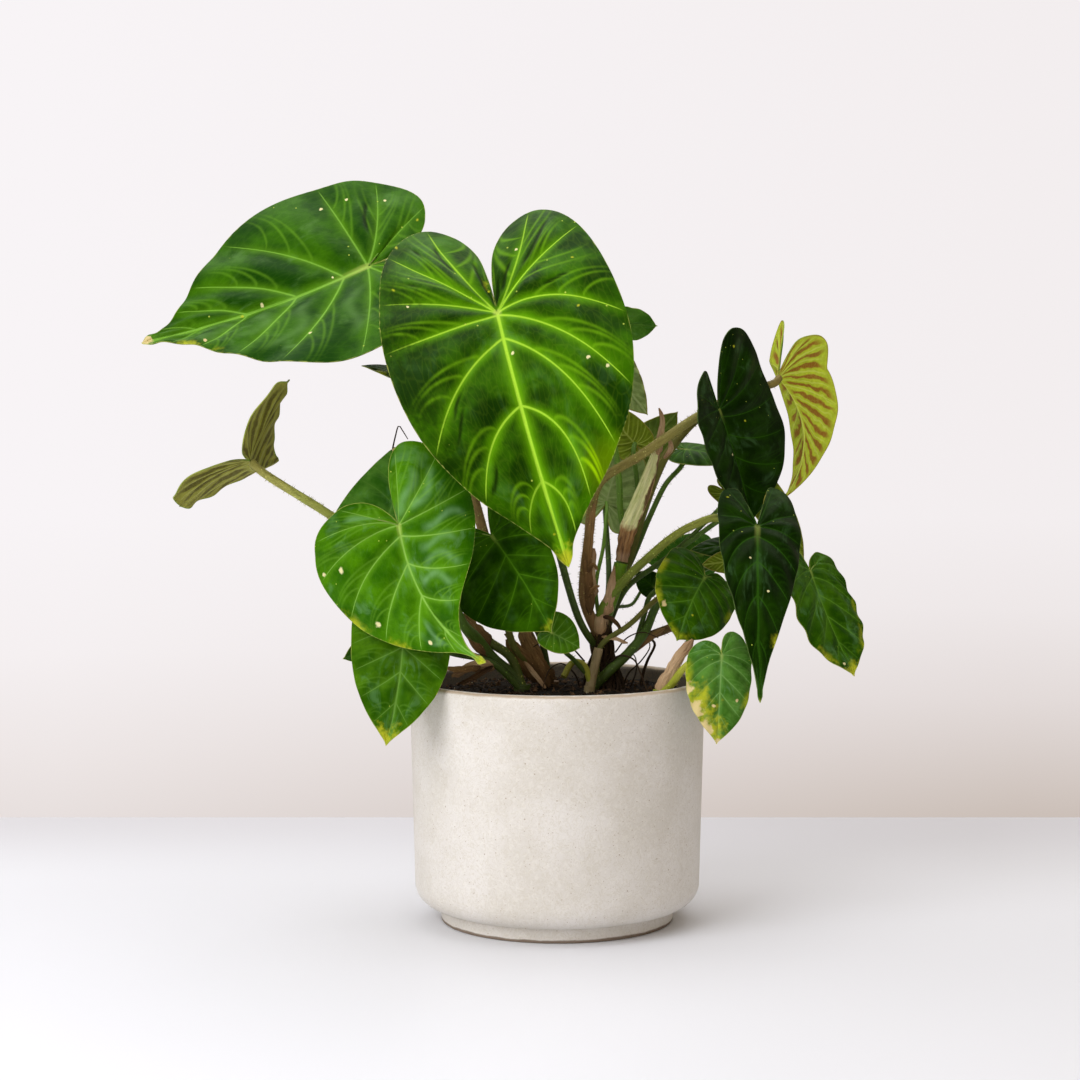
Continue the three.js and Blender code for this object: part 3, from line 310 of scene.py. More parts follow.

# How each kind of blade looks from above and from below: tones of its fields, its veins' halos, veins and
# painted sheens, and how strong its veins, streaks of painted sheen, bands and the small veins below are
PLAIN_LOOK = dict(sheen=(104, 150, 96), margin=(178, 184, 92), under=(100, 124, 50), bands=0.3,
    band=(78, 92, 32), under_vein=(130, 152, 76), rim=(150, 130, 60), minor=0.25)
LOOKS = {
    "glowing": dict(deep=(17, 48, 1), fresh=(54, 101, 2), halo=(94, 156, 2), vein=(172, 218, 60), veins=0.85,
        painted_sheen=0.12),
    "upper": dict(deep=(14, 56, 1), fresh=(52, 100, 2), halo=(86, 138, 16), vein=(130, 182, 66), veins=0.7,
        painted_sheen=0.4, sheen=(92, 132, 68)),
    "whitish_sheen": dict(deep=(38, 88, 1), fresh=(70, 124, 4), halo=(102, 160, 30), vein=(150, 196, 90), veins=0.65,
        painted_sheen=0.25, sheen=(126, 172, 118)),
    "fresh": dict(deep=(36, 78, 1), fresh=(70, 114, 10), halo=(86, 134, 34), vein=(118, 160, 70), veins=0.55,
        painted_sheen=0.3),
    "middle": dict(deep=(48, 98, 20), fresh=(86, 136, 46), halo=(84, 132, 42), vein=(100, 146, 60),
        veins=0.5, painted_sheen=0.3),
    "satin": dict(deep=(26, 62, 1), fresh=(56, 96, 2), halo=(68, 114, 12), vein=(106, 152, 54), veins=0.5,
        painted_sheen=0.35),
    "shade": dict(deep=(22, 54, 1), fresh=(50, 92, 2), halo=(58, 104, 6), vein=(84, 134, 28), veins=0.6,
        painted_sheen=0.1),
    "dark": dict(deep=(14, 38, 1), fresh=(32, 66, 4), halo=(36, 74, 6), vein=(60, 100, 26), veins=0.4,
        painted_sheen=0.15),
    "deep": dict(deep=(4, 20, 1), fresh=(18, 44, 1), halo=(24, 56, 2), vein=(50, 94, 20), veins=0.5,
        painted_sheen=0.15, margin=(104, 128, 70)),
    "ageing": dict(deep=(50, 96, 20), fresh=(88, 134, 52), halo=(96, 146, 62), vein=(140, 182, 104),
        veins=0.55, painted_sheen=0.5),
    "young": dict(deep=(70, 84, 16), fresh=(98, 116, 30), halo=(106, 124, 34), vein=(140, 152, 60),
        veins=0.5, painted_sheen=0.1, under=(134, 134, 52), bands=0.8, band=(70, 60, 16), under_vein=(168, 170, 92),
        rim=(110, 150, 50), minor=0.6),
    "striped": dict(deep=(80, 116, 16), fresh=(112, 150, 34), halo=(120, 160, 44), vein=(160, 188, 74),
        veins=0.6, painted_sheen=0.1, under=(174, 190, 50), bands=0.95, band=(150, 96, 38), under_vein=(206, 220, 92),
        rim=(150, 110, 56), minor=0.75),
    "olive": dict(deep=(30, 56, 4), fresh=(52, 80, 8), halo=(60, 90, 14), vein=(88, 120, 36), veins=0.4,
        painted_sheen=0.1, under=(108, 126, 30), bands=0.4, band=(72, 84, 14), under_vein=(162, 176, 78)),
    "grey": dict(deep=(36, 64, 20), fresh=(58, 88, 36), halo=(64, 96, 42), vein=(96, 128, 70), veins=0.4,
        painted_sheen=0.3, under=(134, 154, 92), bands=0.3, band=(96, 116, 58), under_vein=(164, 180, 120)),
}
# What every blade shares: the painted shade of its pleats, the painted glow of light round its sun spot, its
# hub, specks and gloss
PLEAT_SHADE_TONE = (10, 28, 2)
PAINTED_GLOW_TONE = (170, 218, 2)
HUB_TONE = (200, 206, 110)
SPECK_TONE = (190, 206, 84)
UPPER_GLOSS = (140, 200, 40)
UNDER_GLOSS = (150, 180, 90)

# Shoots, as in the model: where each stands, and its stems' looks, radii and routes. A petiole carries the
# blade of the same name. A shoot's first stem has its buried foot, and stands for the model's whole shoot.
SHOOTS = {
    "shoot_right": dict(root=(25, 8), radius=7, stems={
        "stem_right": dict(look="rooty", radius=(7, 4.5),
            route=[(25, 8, 122), (23, 4, 140), (22, 1, 157)]),
        "petiole_right_upper": dict(look="bristly", radius=(3.2, 2.5, 2.3, 2.4, 2.3),
            route=[(22, 1, 146), (14, 0, 166), (16, 1, 196), (18, 2, 214), (22, 1, 226), (43, 0, 240),
                (70, 8, 258)]),
        "petiole_right_lower": dict(look="flecked", radius=(2.8, 2.3, 2.1, 2, 2),
            route=[(22, 0, 150), (23, -2, 160), (34, -2, 175), (44, -3, 185), (59, -5, 198), (69, -7, 204),
                (82, -7, 208)]),
        "internode_bright": dict(look="bright", radius=(4, 3.6),
            route=[(23, 3, 154), (28, 4, 166), (31.5, 5, 177), (33, 5.3, 184)]),
        "petiole_right_new": dict(look="olive", radius=(2.6, 2),
            route=[(25, 6, 154), (29, 9, 167), (37, 13, 185), (45, 15, 211), (53, 16, 232), (58, 18, 241),
                (73, 23, 258), (96, 32, 272)]),
        "petiole_back_right": dict(look="green", radius=(1.6, 1.3),
            route=[(25, 8, 154), (30, 13, 168), (39, 17, 185), (48, 21, 206), (57, 25, 224)]),
        "petiole_back_top": dict(look="fresh", radius=(1.8, 1.5),
            route=[(25, 8, 152), (29, 12, 165), (35, 16, 193), (33, 18, 211), (32, 18, 231), (27, 22, 258),
                (22, 34, 284)]),
        "petiole_back_olive": dict(look="green", radius=(1.5, 1.2),
            route=[(27, 9, 153), (33, 14, 169), (38, 19, 187), (42, 21, 220)]),
        "petiole_back_curled": dict(look="green", radius=(1.6, 1.3),
            route=[(26, 10, 150), (31, 20, 174), (35, 38, 200)]),
        "petiole_back_grey": dict(look="fresh", radius=(1.1, 0.9),
            route=[(22, 2, 152), (20, 5, 172), (24, 12, 192)]),
        "petiole_back_wavy": dict(look="green", radius=(1.5, 1.2),
            route=[(24, 8, 150), (27, 18, 172), (26, 40, 206), (23, 46, 252)]),
        "petiole_inner_small": dict(look="green", radius=(1, 0.8),
            route=[(24, 6, 148), (28, 10, 159), (40, 28, 161)]),
        "petiole_outer_olive": dict(look="green", radius=(1.6, 1.2),
            route=[(26, 8, 150), (36, 14, 170), (52, 18, 182), (70, 17, 195), (87, 17, 207)]),
        "petiole_outer_small": dict(look="green", radius=(1.2, 1),
            route=[(60, 17, 188), (74, 18, 201)]),
        "petiole_front_large": dict(look="green", radius=(1.9, 1.8),
            route=[(22, 2, 138), (12, -6, 154), (2, -12, 186), (-6, -16, 218), (-19, -22, 268)]),
        "sheath_right": dict(look="papery", radius=(3.2, 1.2),
            route=[(18, 1, 166), (17, -1, 180), (19, 0, 192)]),
    }),
    "shoot_right_low": dict(root=(18, -8), radius=2.8, stems={
        "petiole_inner_olive": dict(look="green", radius=(2.8, 1.6),
            route=[(18, -8, 121), (28, -9, 131), (36, -6, 138), (45, 2, 148), (52, 16, 161), (64, 38, 170)]),
        "petiole_right_inner": dict(look="olive", radius=(1.5, 1.3),
            route=[(20, -9, 125), (22, -9, 142), (37, -5, 153), (54, 4, 167)]),
        "petiole_inner_flat": dict(look="green", radius=(1.4, 1.1),
            route=[(40, -3, 142), (45, 8, 156), (49, 13, 167), (66, 22, 174), (85, 30, 182)]),
        "petiole_right_outer": dict(look="brown", radius=(2.4, 1.7),
            route=[(32, -8, 134), (43, 2, 144), (58, 14, 149), (85, 20, 159), (113, 7, 174)]),
    }),
    "shoot_centre": dict(root=(-4, 3), radius=5, stems={
        "petiole_upper_left": dict(look="brown", radius=(3, 2.1),
            route=[(-4, 3, 121), (-8, 2, 130), (-15, 4, 147), (-27, 4, 166), (-40, 8, 206), (-57, 16, 268),
                (-82, 26, 316)]),
        "petiole_behind_front": dict(look="green", radius=(1.8, 1.4),
            route=[(-4, 4, 124), (-9, 8, 146), (-20, 14, 164), (-38, 28, 227)]),
        "petiole_centre_low": dict(look="olive", radius=(2, 1.6),
            route=[(-4, 2, 120), (-14, -6, 133), (-22, -11, 142), (-28, -15, 167)]),
        "sheath_centre": dict(look="sheath", radius=(4, 3),
            route=[(-3, -1, 121), (-8, -7, 130), (-14, -10, 141), (-18, -10, 152)]),
        "sheath_centre_left": dict(look="sheath", radius=(2.8, 1.6),
            route=[(-8, -3, 123), (-18, -9, 133), (-26, -10, 146)]),
    }),
    "shoot_left": dict(root=(-18, -12), radius=4.5, stems={
        "petiole_left_middle": dict(look="green", radius=(3, 2.1),
            route=[(-18, -12, 120), (-22, -12, 127), (-32, -15, 136), (-41, -23, 148), (-47, -37, 156),
                (-53, -46, 170), (-62, -50, 188)]),
        "petiole_young": dict(look="young", radius=(2.4, 2.1),
            route=[(-18, -12, 122), (-24, -12, 137), (-36, -14, 146), (-60, -13, 167), (-84, -17, 188),
                (-113, -31, 210)]),
        "petiole_left_back": dict(look="green", radius=(1.5, 1.2),
            route=[(-28, -13, 134), (-44, -9, 146), (-61, -4, 172), (-76, 0, 193)]),
        "petiole_left_low": dict(look="green", radius=(1.8, 1.4),
            route=[(-18, -14, 120), (-32, -19, 134), (-46, -21, 140), (-63, -22, 148)]),
        "petiole_left_hidden": dict(look="green", radius=(1.4, 1.1),
            route=[(-38, -20, 137), (-53, -15, 139), (-68, -11, 143)]),
        "sheath_left": dict(look="sheath", radius=(4.6, 2.5),
            route=[(-36, -17, 141), (-42, -22, 151), (-48, -27, 160)]),
        "sheath_left_rim": dict(look="papery", radius=(2.6, 1.4),
            route=[(-30, -18, 133), (-44, -30, 134), (-53, -36, 130)]),
    }),
    "shoot_front": dict(root=(16, -18), radius=2.6, stems={
        "stub_front": dict(look="stub", radius=(2.6, 2.3),
            route=[(16, -18, 119), (18, -17, 129), (21, -16, 142)]),
        "runner_front": dict(look="runner", radius=(1.6, 1.7),
            route=[(17, -18, 124), (13, -18, 134), (8, -17, 135), (3, -21, 128)]),
        "petiole_centre_small": dict(look="green", radius=(1.3, 1),
            route=[(14, -18, 130), (8, -22, 137), (3, -29, 142)]),
    }),
    "shoot_rim": dict(root=(50, -33), radius=2.2, stems={
        "petiole_rim_yellow": dict(look="yellow", radius=(2, 1.6),
            route=[(50, -33, 119), (56, -37, 125), (63, -42, 135), (71, -45, 141)]),
        "sheath_rim": dict(look="papery", radius=(3.2, 1.8),
            route=[(51, -33, 120), (58, -32, 134), (68, -30, 148)]),
    }),
    "shoot_back_rim": dict(root=(59, 8), radius=1.6, stems={
        "petiole_inner_green": dict(look="fresh", radius=(1.4, 1),
            route=[(59, 8, 119), (62, 7, 132), (68, 8, 143), (86, 18, 168)]),
    }),
}
# How petioles reach their blades, and the meshes of stems and of torn ribbons
ARRIVAL = 7  # length of the straight end of a petiole
PETIOLE_TILT = (0.75, 0.65)  # how far that end leans to the blade's normal and along the petiole
END_REACH = 0.75
CLEARANCE = 0.3
CAD_THICKNESS = 0.8
STEM_STEP = 1.6
STEM_SIDES = 14
THICK_STEM = 3.5
THICK_SIDES = 20
# How uneven the radius of each kind of stem is, of its size
ROUGH_STEMS = dict(rooty=0.16, sheath=0.16, papery=0.18, stub=0.07, brown=0.06, bristly=0.05)
SMOOTH_STEM = 0.025
DRY_LOOKS = ("papery", "sheath")  # stems with these looks are torn ribbons
DRY_WIDTH = 2.4  # a ribbon's width for each radius of the model's stem
DRY_CURL = 120
RIBBON_CELLS = 12
RIBBON_STEP = 0.9
RIBBON_THICKNESS = 0.35
BRISTLES = 9  # to one step of a stem whose look has 1
BRISTLE_REACH = 1.8
BRISTLE_WIDTH = 0.14
BRISTLE_SINK = 0.15

# The papery sheath of the next new leaf: brown, with a cream patch in front
SHEATH = dict(flat=0.85, radius=(3.6, 5, 4.8, 3.2, 1.2),
    route=[(33.2, 5.4, 184.9), (36.6, 6, 201), (43, 7, 217), (50, 8, 237), (54, 9, 253)])
SHEATH_AXIS = (0.0348, 0.0556)  # its middle's X at its foot and at its tip, in metres
SHEATH_BROWNS = [(0, (140, 100, 62)), (0.3, (178, 132, 80)), (0.6, (190, 154, 102)), (1, (206, 170, 128))]
SHEATH_TONES = dict(streak=(78, 50, 28), fibre=(206, 178, 132), cream=(240, 238, 180), green=(190, 200, 118),
    pale=(236, 234, 190), rim=(70, 46, 26), foot=(190, 160, 130))
ROOT_CURL = dict(radius=(1, 0.6),
    route=[(44, 12, 104), (44, 12, 122), (47, 13, 132), (51, 14, 141), (49, 12, 144)])

# Colours along each kind of stem, from its foot to its blade, and how bristly it is
STEM_LOOKS = {
    "rooty": dict(tones=[(34, 24, 14), (64, 46, 24), (104, 94, 40)], streak=(20, 12, 6), rough=0.9,
        bristles=0),
    "bristly": dict(tones=[(132, 100, 64), (140, 110, 70), (134, 122, 60), (156, 146, 76), (168, 164, 92)],
        streak=(98, 76, 40), rough=0.7, bristles=1.2),
    "flecked": dict(tones=[(96, 126, 30), (116, 130, 42), (146, 152, 60), (158, 168, 74)],
        streak=(90, 92, 32), rough=0.6, bristles=0.9),
    "bright": dict(tones=[(96, 130, 24), (110, 156, 14), (96, 134, 16)], streak=(78, 112, 14), rough=0.45,
        bristles=0),
    "olive": dict(tones=[(86, 98, 34), (112, 112, 46), (122, 106, 46)], streak=(72, 66, 28), rough=0.6,
        bristles=0.3),
    "green": dict(tones=[(64, 80, 28), (78, 108, 34), (92, 128, 42)], streak=(50, 64, 20), rough=0.5,
        bristles=0.15),
    "fresh": dict(tones=[(84, 112, 34), (104, 144, 48), (112, 150, 52)], streak=(70, 98, 30), rough=0.5,
        bristles=0.1),
    "brown": dict(tones=[(96, 70, 42), (124, 96, 54), (112, 108, 50), (106, 126, 48)], streak=(62, 46, 24),
        rough=0.7, bristles=0.3),
    "young": dict(tones=[(72, 86, 28), (98, 112, 40), (138, 150, 60), (168, 162, 82)], streak=(98, 98, 40),
        rough=0.55, bristles=0.5),
    "yellow": dict(tones=[(130, 142, 30), (172, 176, 56), (184, 178, 80)], streak=(130, 128, 40), rough=0.55,
        bristles=0.2),
    "stub": dict(tones=[(126, 110, 76), (142, 126, 90), (162, 144, 108)], streak=(92, 78, 50), rough=0.8,
        bristles=0),
    "runner": dict(tones=[(132, 138, 38), (150, 146, 46), (112, 110, 34)], streak=(96, 92, 28), rough=0.6,
        bristles=0),
    "papery": dict(tones=[(168, 134, 98), (194, 164, 128), (160, 126, 92)], streak=(118, 86, 58), rough=0.8,
        bristles=0),
    "sheath": dict(tones=[(92, 66, 38), (138, 104, 62), (152, 120, 74)], streak=(64, 42, 24), rough=0.8,
        bristles=0),
    "curl": dict(tones=[(58, 38, 20), (92, 66, 38), (64, 44, 24)], streak=(34, 20, 10), rough=0.85,
        bristles=0),
    "root": dict(tones=[(44, 30, 18), (66, 48, 28)], streak=(24, 16, 10), rough=0.9, bristles=0),
}

# Torn dry sheets round the stems, as routes along their outer face, with widths and how far round they curl
SCRAPS = {
    "scrap_right_wrap": dict(look="sheath", width=(6.5, 6, 5.2, 4.4, 2.6), curl=170,
        route=[(17, -3.4, 158), (15.6, -3.2, 172), (15.4, -2.4, 188), (17, -1.4, 203), (19, -0.8, 215)]),
    "scrap_right_curl": dict(look="sheath", width=(1.4, 2.2, 0.8), curl=-150,
        route=[(15.6, -3.6, 180), (18.4, -4.8, 184), (20.6, -4.4, 181)]),
    "scrap_right_low_curl": dict(look="sheath", width=(1.6, 2.6, 0.8), curl=-150,
        route=[(16, -4, 167), (19, -5.2, 172), (21.6, -4.6, 173)]),
    "scrap_triangle": dict(look="papery", width=(7.5, 6, 3.4, 0.8), curl=80,
        route=[(25, -4.6, 158), (26.5, -4.6, 166), (28, -3.8, 174), (29.5, -3, 183)]),
    "scrap_knob": dict(look="papery", width=(7, 7.5, 5), curl=190,
        route=[(22, -4.2, 148), (22.6, -4.4, 155), (24, -4, 161)]),
    "scrap_shelf": dict(look="papery", width=(2.6, 3.6, 1.4), curl=60, face=(0.2, -0.6, 0.8),
        route=[(23, -5, 147), (29, -9, 146.5), (36, -9, 144)]),
    "scrap_brown_curl": dict(look="curl", width=(1.6, 2.4, 1), curl=140,
        route=[(23, -4, 157), (28, -7, 156), (32, -7, 151), (30, -7, 147)]),
    "scrap_new_leaf": dict(look="papery", width=(4.4, 3.6, 2.8, 1.4), curl=120,
        route=[(51.5, 5.6, 240), (53.5, 6.4, 250), (54, 7.4, 259), (52.5, 7.6, 264)]),
    "scrap_new_leaf_curl": dict(look="papery", width=(1.4, 2.6, 1), curl=-170,
        route=[(55, 6, 238), (58.5, 5.4, 243), (57.5, 5.6, 249)]),
    "scrap_centre_long": dict(look="sheath", width=(4.4, 4, 3.2, 1.4), curl=110,
        route=[(-7, -6.5, 122), (-12, -9, 133), (-19, -11, 141), (-27, -12.5, 149)]),
    "scrap_centre_front": dict(look="sheath", width=(5, 4.4, 3, 1.2), curl=130,
        route=[(-4, -6, 121), (-8, -9.5, 130), (-13, -10.5, 140), (-18, -11, 151)]),
    "scrap_centre_cross": dict(look="papery", width=(1.4, 2.4, 1.6), curl=70,
        route=[(-17, -13, 135), (-12, -13, 129), (-6, -12, 121)]),
    "scrap_left_curl": dict(look="sheath", width=(5, 6.4, 5.4, 1.6), curl=150,
        route=[(-35, -18.5, 138), (-40, -23.5, 144), (-44.5, -27, 153), (-50, -29, 162)]),
    "scrap_left_rim": dict(look="sheath", width=(3, 4.4, 1.6), curl=120, face=(0, -0.8, 0.6),
        route=[(-39, -27.5, 134), (-48, -35.5, 134), (-56, -42, 135)]),
    "scrap_left_rim_low": dict(look="curl", width=(2, 3, 1), curl=-140,
        route=[(-33, -22, 133.5), (-42, -30, 129), (-50, -35, 126)]),
    "scrap_rim_long": dict(look="papery", width=(4.6, 5.4, 4, 1.4), curl=90,
        route=[(51, -35.4, 119), (55, -34.6, 128), (60, -33, 136), (66, -31, 143)]),
    "scrap_outer_petiole": dict(look="sheath", width=(3.4, 4.6, 2), curl=170,
        route=[(38, -6, 139), (46, 0.5, 144.6), (56, 10, 149.5)]),
}

# Thin roots and threads with their radius: each starts in the soil, on a stem or at a blade's tip
THREADS = [
    (0.45, [(-85, 7.4, 243), (-83.6, 6.6, 249), (-81.6, 6, 255), (-79.8, 6, 252.5), (-77, 6, 248)]),
    (0.5, [(34, 6, 119), (37, 4, 127), (43, 3, 133), (48, 4, 141), (46, 4, 146)]),
    (0.45, [(38, 8, 119), (41, 6, 128), (40, 4, 136), (35, 2, 139)]),
    (0.6, [(26, -8, 133), (32, -13, 138), (39, -14, 136), (42, -15, 130), (46, -16, 120)]),
    (0.5, [(12, -6, 119), (9, -11, 128), (2, -14, 134), (-4, -15, 131), (-8, -18, 120)]),
    (0.5, [(14, -4, 134), (6, -8, 143), (-2, -9, 148), (-9, -9, 144), (-14, -10, 141)]),
    (0.45, [(30, 2, 138), (36, -2, 146), (44, -4, 149), (52, -3, 146)]),
]
TANGLE_FOOT = 116
TANGLE = dict(count=64, centre=(24, -1), spread=(12, 8), top=(128, 156), radius=(0.3, 0.75))
SOIL_ROOTS = 40
BEADS = [((-30, -40), 1.5, (196, 150, 34)), ((-26, -50), 1, (222, 214, 190)),
    ((-24, -46), 0.8, (214, 204, 176)), ((-12, -56), 1, (226, 220, 204)), ((-9, -52), 0.7, (216, 208, 186)),
    ((14, -58), 0.8, (220, 212, 190))]


# Curves and frames

def unit(vector):
    return vector / np.linalg.norm(vector)


def turned(vector, axis, angle):
    """A vector turned round a unit axis."""
    return (vector * math.cos(angle) + np.cross(axis, vector) * math.sin(angle)
        + axis * (axis @ vector) * (1 - math.cos(angle)))


def waves(rng, count):
    """Starting angles for waves that run over a surface."""
    return rng.uniform(0, 6.28, count)


def table(values, places):
    """A list's values at places between its items."""
    return np.interp(places, np.arange(len(values)), values)


def hermite(points, places, chords):
    """A Catmull-Rom curve through the points; chords gives the parameter length of each span."""
    padded = np.vstack([2 * points[0] - points[1], points, 2 * points[-1] - points[-2]])
    spans = np.r_[chords[0], chords, chords[-1]]
    index = np.clip(np.floor(places).astype(int), 0, len(points) - 2)
    u = (places - index)[:, None]
    p0, p1, p2, p3 = (padded[index + k] for k in range(4))
    d0, d1, d2 = (spans[index + k][:, None] for k in range(3))
    start = ((p1 - p0) / d0 - (p2 - p0) / (d0 + d1) + (p2 - p1) / d1) * d1
    end = ((p2 - p1) / d1 - (p3 - p1) / (d1 + d2) + (p3 - p2) / d2) * d1
    return (p1 + start * u + (-3 * p1 + 3 * p2 - 2 * start - end) * u ** 2
        + (2 * p1 - 2 * p2 + start + end) * u ** 3)


def along_curve(points, shares, centripetal, divisions=400):
    """Points at shares of the length of a smooth curve, and its length."""
    points = np.asarray(points, float)
    gaps = np.linalg.norm(np.diff(points, axis=0), axis=1)
    chords = np.sqrt(gaps) if centripetal else np.ones(len(gaps))
    places = np.linspace(0, len(points) - 1, divisions + 1)
    line = hermite(points, places, chords)
    lengths = np.r_[0, np.cumsum(np.linalg.norm(np.diff(line, axis=0), axis=1))]
    wanted = np.interp(np.asarray(shares) * lengths[-1], lengths, places)
    return hermite(points, wanted, chords), lengths[-1]


def steady_frames(line):
    """Tangents, normals and binormals that don't twist along a line."""
    tangents = np.gradient(line, axis=0)
    tangents /= np.linalg.norm(tangents, axis=1)[:, None]
    least = np.eye(3)[np.argmin(np.abs(tangents[0]))]
    normal = np.cross(tangents[0], unit(np.cross(tangents[0], least)))
    normals = [normal]
    for before, after in zip(tangents[:-1], tangents[1:]):
        axis = np.cross(before, after)
        size = np.linalg.norm(axis)
        if size > 1e-9:
            normal = turned(normal, axis / size, math.atan2(size, before @ after))
        normals.append(normal)
    normals = np.array(normals)
    return tangents, normals, np.cross(tangents, normals)


# Meshes

def new_piece(name, points, triangles, materials, sharp=None):
    """A mesh object in metres that rides on the root, from points in millimetres."""
    mesh = bpy.data.meshes.new(name)
    places = np.clip(np.asarray(points) * MM, np.array(CAD_BOX[0]), np.array(CAD_BOX[1]))
    mesh.from_pydata(places, [], np.asarray(triangles).tolist())
    for material in materials:
        mesh.materials.append(material)
    mesh.shade_smooth()
    if sharp:
        mesh.set_sharp_from_angle(angle=math.radians(sharp))
    piece = bpy.data.objects.new(name, mesh)
    bpy.context.scene.collection.objects.link(piece)
    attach(piece, "root")
    return piece


def set_values(piece, name, values):
    layer = piece.data.attributes.new(name, "FLOAT", "POINT")
    layer.data.foreach_set("value", np.asarray(values, np.float32))


def set_map(piece, name, pairs):
    layer = piece.data.uv_layers.new(name=name)
    layer.data.foreach_set("uv", np.asarray(pairs, np.float32).ravel())


# Materials

def tone(rgb):
    """A colour given as the eye sees it, 0 to 255, as light."""
    value = np.asarray(rgb, float) / 255
    light = np.where(value <= 0.04045, value / 12.92, ((value + 0.055) / 1.055) ** 2.4)
    return (*light, 1.0)


class Nodes:
    """Adds nodes to a tree. Inputs are sockets or plain values, and colours are sockets or tones 0 to 255."""

    def __init__(self, tree):
        self.tree = tree
        tree.nodes.clear()

    def plug(self, socket, value):
        if isinstance(value, bpy.types.NodeSocket):
            self.tree.links.new(value, socket)
        elif value is not None:
            socket.default_value = value

    def node(self, kind, inputs=None, **settings):
        made = self.tree.nodes.new("ShaderNode" + kind)
        for key, value in settings.items():
            setattr(made, key, value)
        for key, value in (inputs or {}).items():
            self.plug(made.inputs[key], value)
        return made

    def fade(self, value, start, end, kind="SMOOTHSTEP"):
        """0 at start and 1 at end, smoothly or evenly."""
        ends = {"Value": value, "From Min": start, "From Max": end}
        return self.node("MapRange", ends, interpolation_type=kind).outputs["Result"]

    def mix(self, share, a, b):
        """From colour a at share 0 to colour b at share 1."""
        a, b = (value if isinstance(value, bpy.types.NodeSocket) else tone(value) for value in (a, b))
        return self.node("Mix", {0: share, 6: a, 7: b}, data_type="RGBA").outputs[2]

    def ramp(self, share, stops):
        made = self.node("ValToRGB", {0: share})
        while len(made.color_ramp.elements) < len(stops):
            made.color_ramp.elements.new(0.5)
        for element, (place, rgb) in zip(made.color_ramp.elements, stops):
            element.position = place
            element.color = tone(rgb)
        return made.outputs["Color"]


class Shader(Nodes):
    """Builds one procedural material out of nodes."""

    def __init__(self, name):
        self.material = bpy.data.materials.new(name)
        self.material.use_nodes = True
        super().__init__(self.material.node_tree)
        self.surface = self.node("BsdfPrincipled")
        self.node("OutputMaterial", {"Surface": self.surface.outputs["BSDF"]})
        self.position = self.node("TexCoord").outputs["Object"]

    def math(self, operation, *values):
        return self.node("Math", dict(enumerate(values)), operation=operation).outputs[0]

    def chain(self, operation, first, *others):
        for other in others:
            first = self.math(operation, first, other)
        return first

    def times(self, *values):
        return self.chain("MULTIPLY", *values)

    def add(self, *values):
        return self.chain("ADD", *values)

    def minus(self, a, b):
        return self.math("SUBTRACT", a, b)

    def most(self, *values):
        return self.chain("MAXIMUM", *values)

    def swing(self, noise, reach):
        """How far noise is from its middle, times reach."""
        return self.times(self.minus(noise, 0.5), reach)

    def between(self, share, low, high):
        return self.node("MapRange", {"Value": share, "To Min": low, "To Max": high}).outputs["Result"]

    def over(self, colour, top, *shares):
        """Another colour over a colour, as strong as all the shares multiplied."""
        return self.mix(self.times(*shares), colour, top)

    def noise(self, size, detail=4, rough=0.55, where=None, twist=0.0):
        """Even noise about 0.5, with features of a size in millimetres."""
        made = self.node("TexNoise", {"Vector": where or self.position, "Scale": 1 / (size * MM),
            "Detail": detail, "Roughness": rough, "Distortion": twist})
        return made.outputs["Fac"]

    def streaks(self, across, rate_across, along, rate_along, detail, rough, twist=0.0):
        """Noise drawn out over a piece's own two values, with how many features go to one of each."""
        place = self.join(self.times(across, rate_across), self.times(along, rate_along))
        return self.noise(1 / MM, detail, rough, place, twist)

    def cells(self, size, feature="F1", where=None):
        place = {"Vector": where or self.position, "Scale": 1 / (size * MM)}
        return self.node("TexVoronoi", place, feature=feature)

    def lot(self, cells):
        """A number from 0 to 1 drawn for each cell."""
        return self.node("SeparateColor", {0: cells.outputs["Color"]}).outputs[0]

    def spot(self, place, x, y, radius, softness):
        """A round spot at a place of the flat map in millimetres: 1 inside, and 0 from its radius on."""
        middle = (x / MAP_UNIT, y / MAP_UNIT, 0)
        away = self.node("VectorMath", {0: place, 1: middle}, operation="DISTANCE").outputs["Value"]
        return self.fade(away, radius / MAP_UNIT, radius / MAP_UNIT * (1 - softness))

    def value(self, name):
        return self.node("Attribute", attribute_name=name).outputs["Fac"]

    def pair(self, name):
        split = self.node("SeparateXYZ", {0: self.node("UVMap", uv_map=name).outputs["UV"]})
        return split.outputs["X"], split.outputs["Y"]

    def join(self, x, y, z=0.0):
        return self.node("CombineXYZ", {0: x, 1: y, 2: z}).outputs[0]

    def bump(self, height, strength, distance, after=None):
        made = self.node("Bump", {"Strength": strength, "Distance": distance * MM, "Height": height,
            "Normal": after})
        return made.outputs["Normal"]

    def finish(self, colour, roughness, normal=None, specular=0.3, gloss=None):
        sockets = {"Base Color": colour, "Roughness": roughness, "Specular IOR Level": specular,
            "Normal": normal}
        if gloss:
            sockets["Specular Tint"] = tone(gloss)
        for key, value in sockets.items():
            self.plug(self.surface.inputs[key], value)
        return self.material


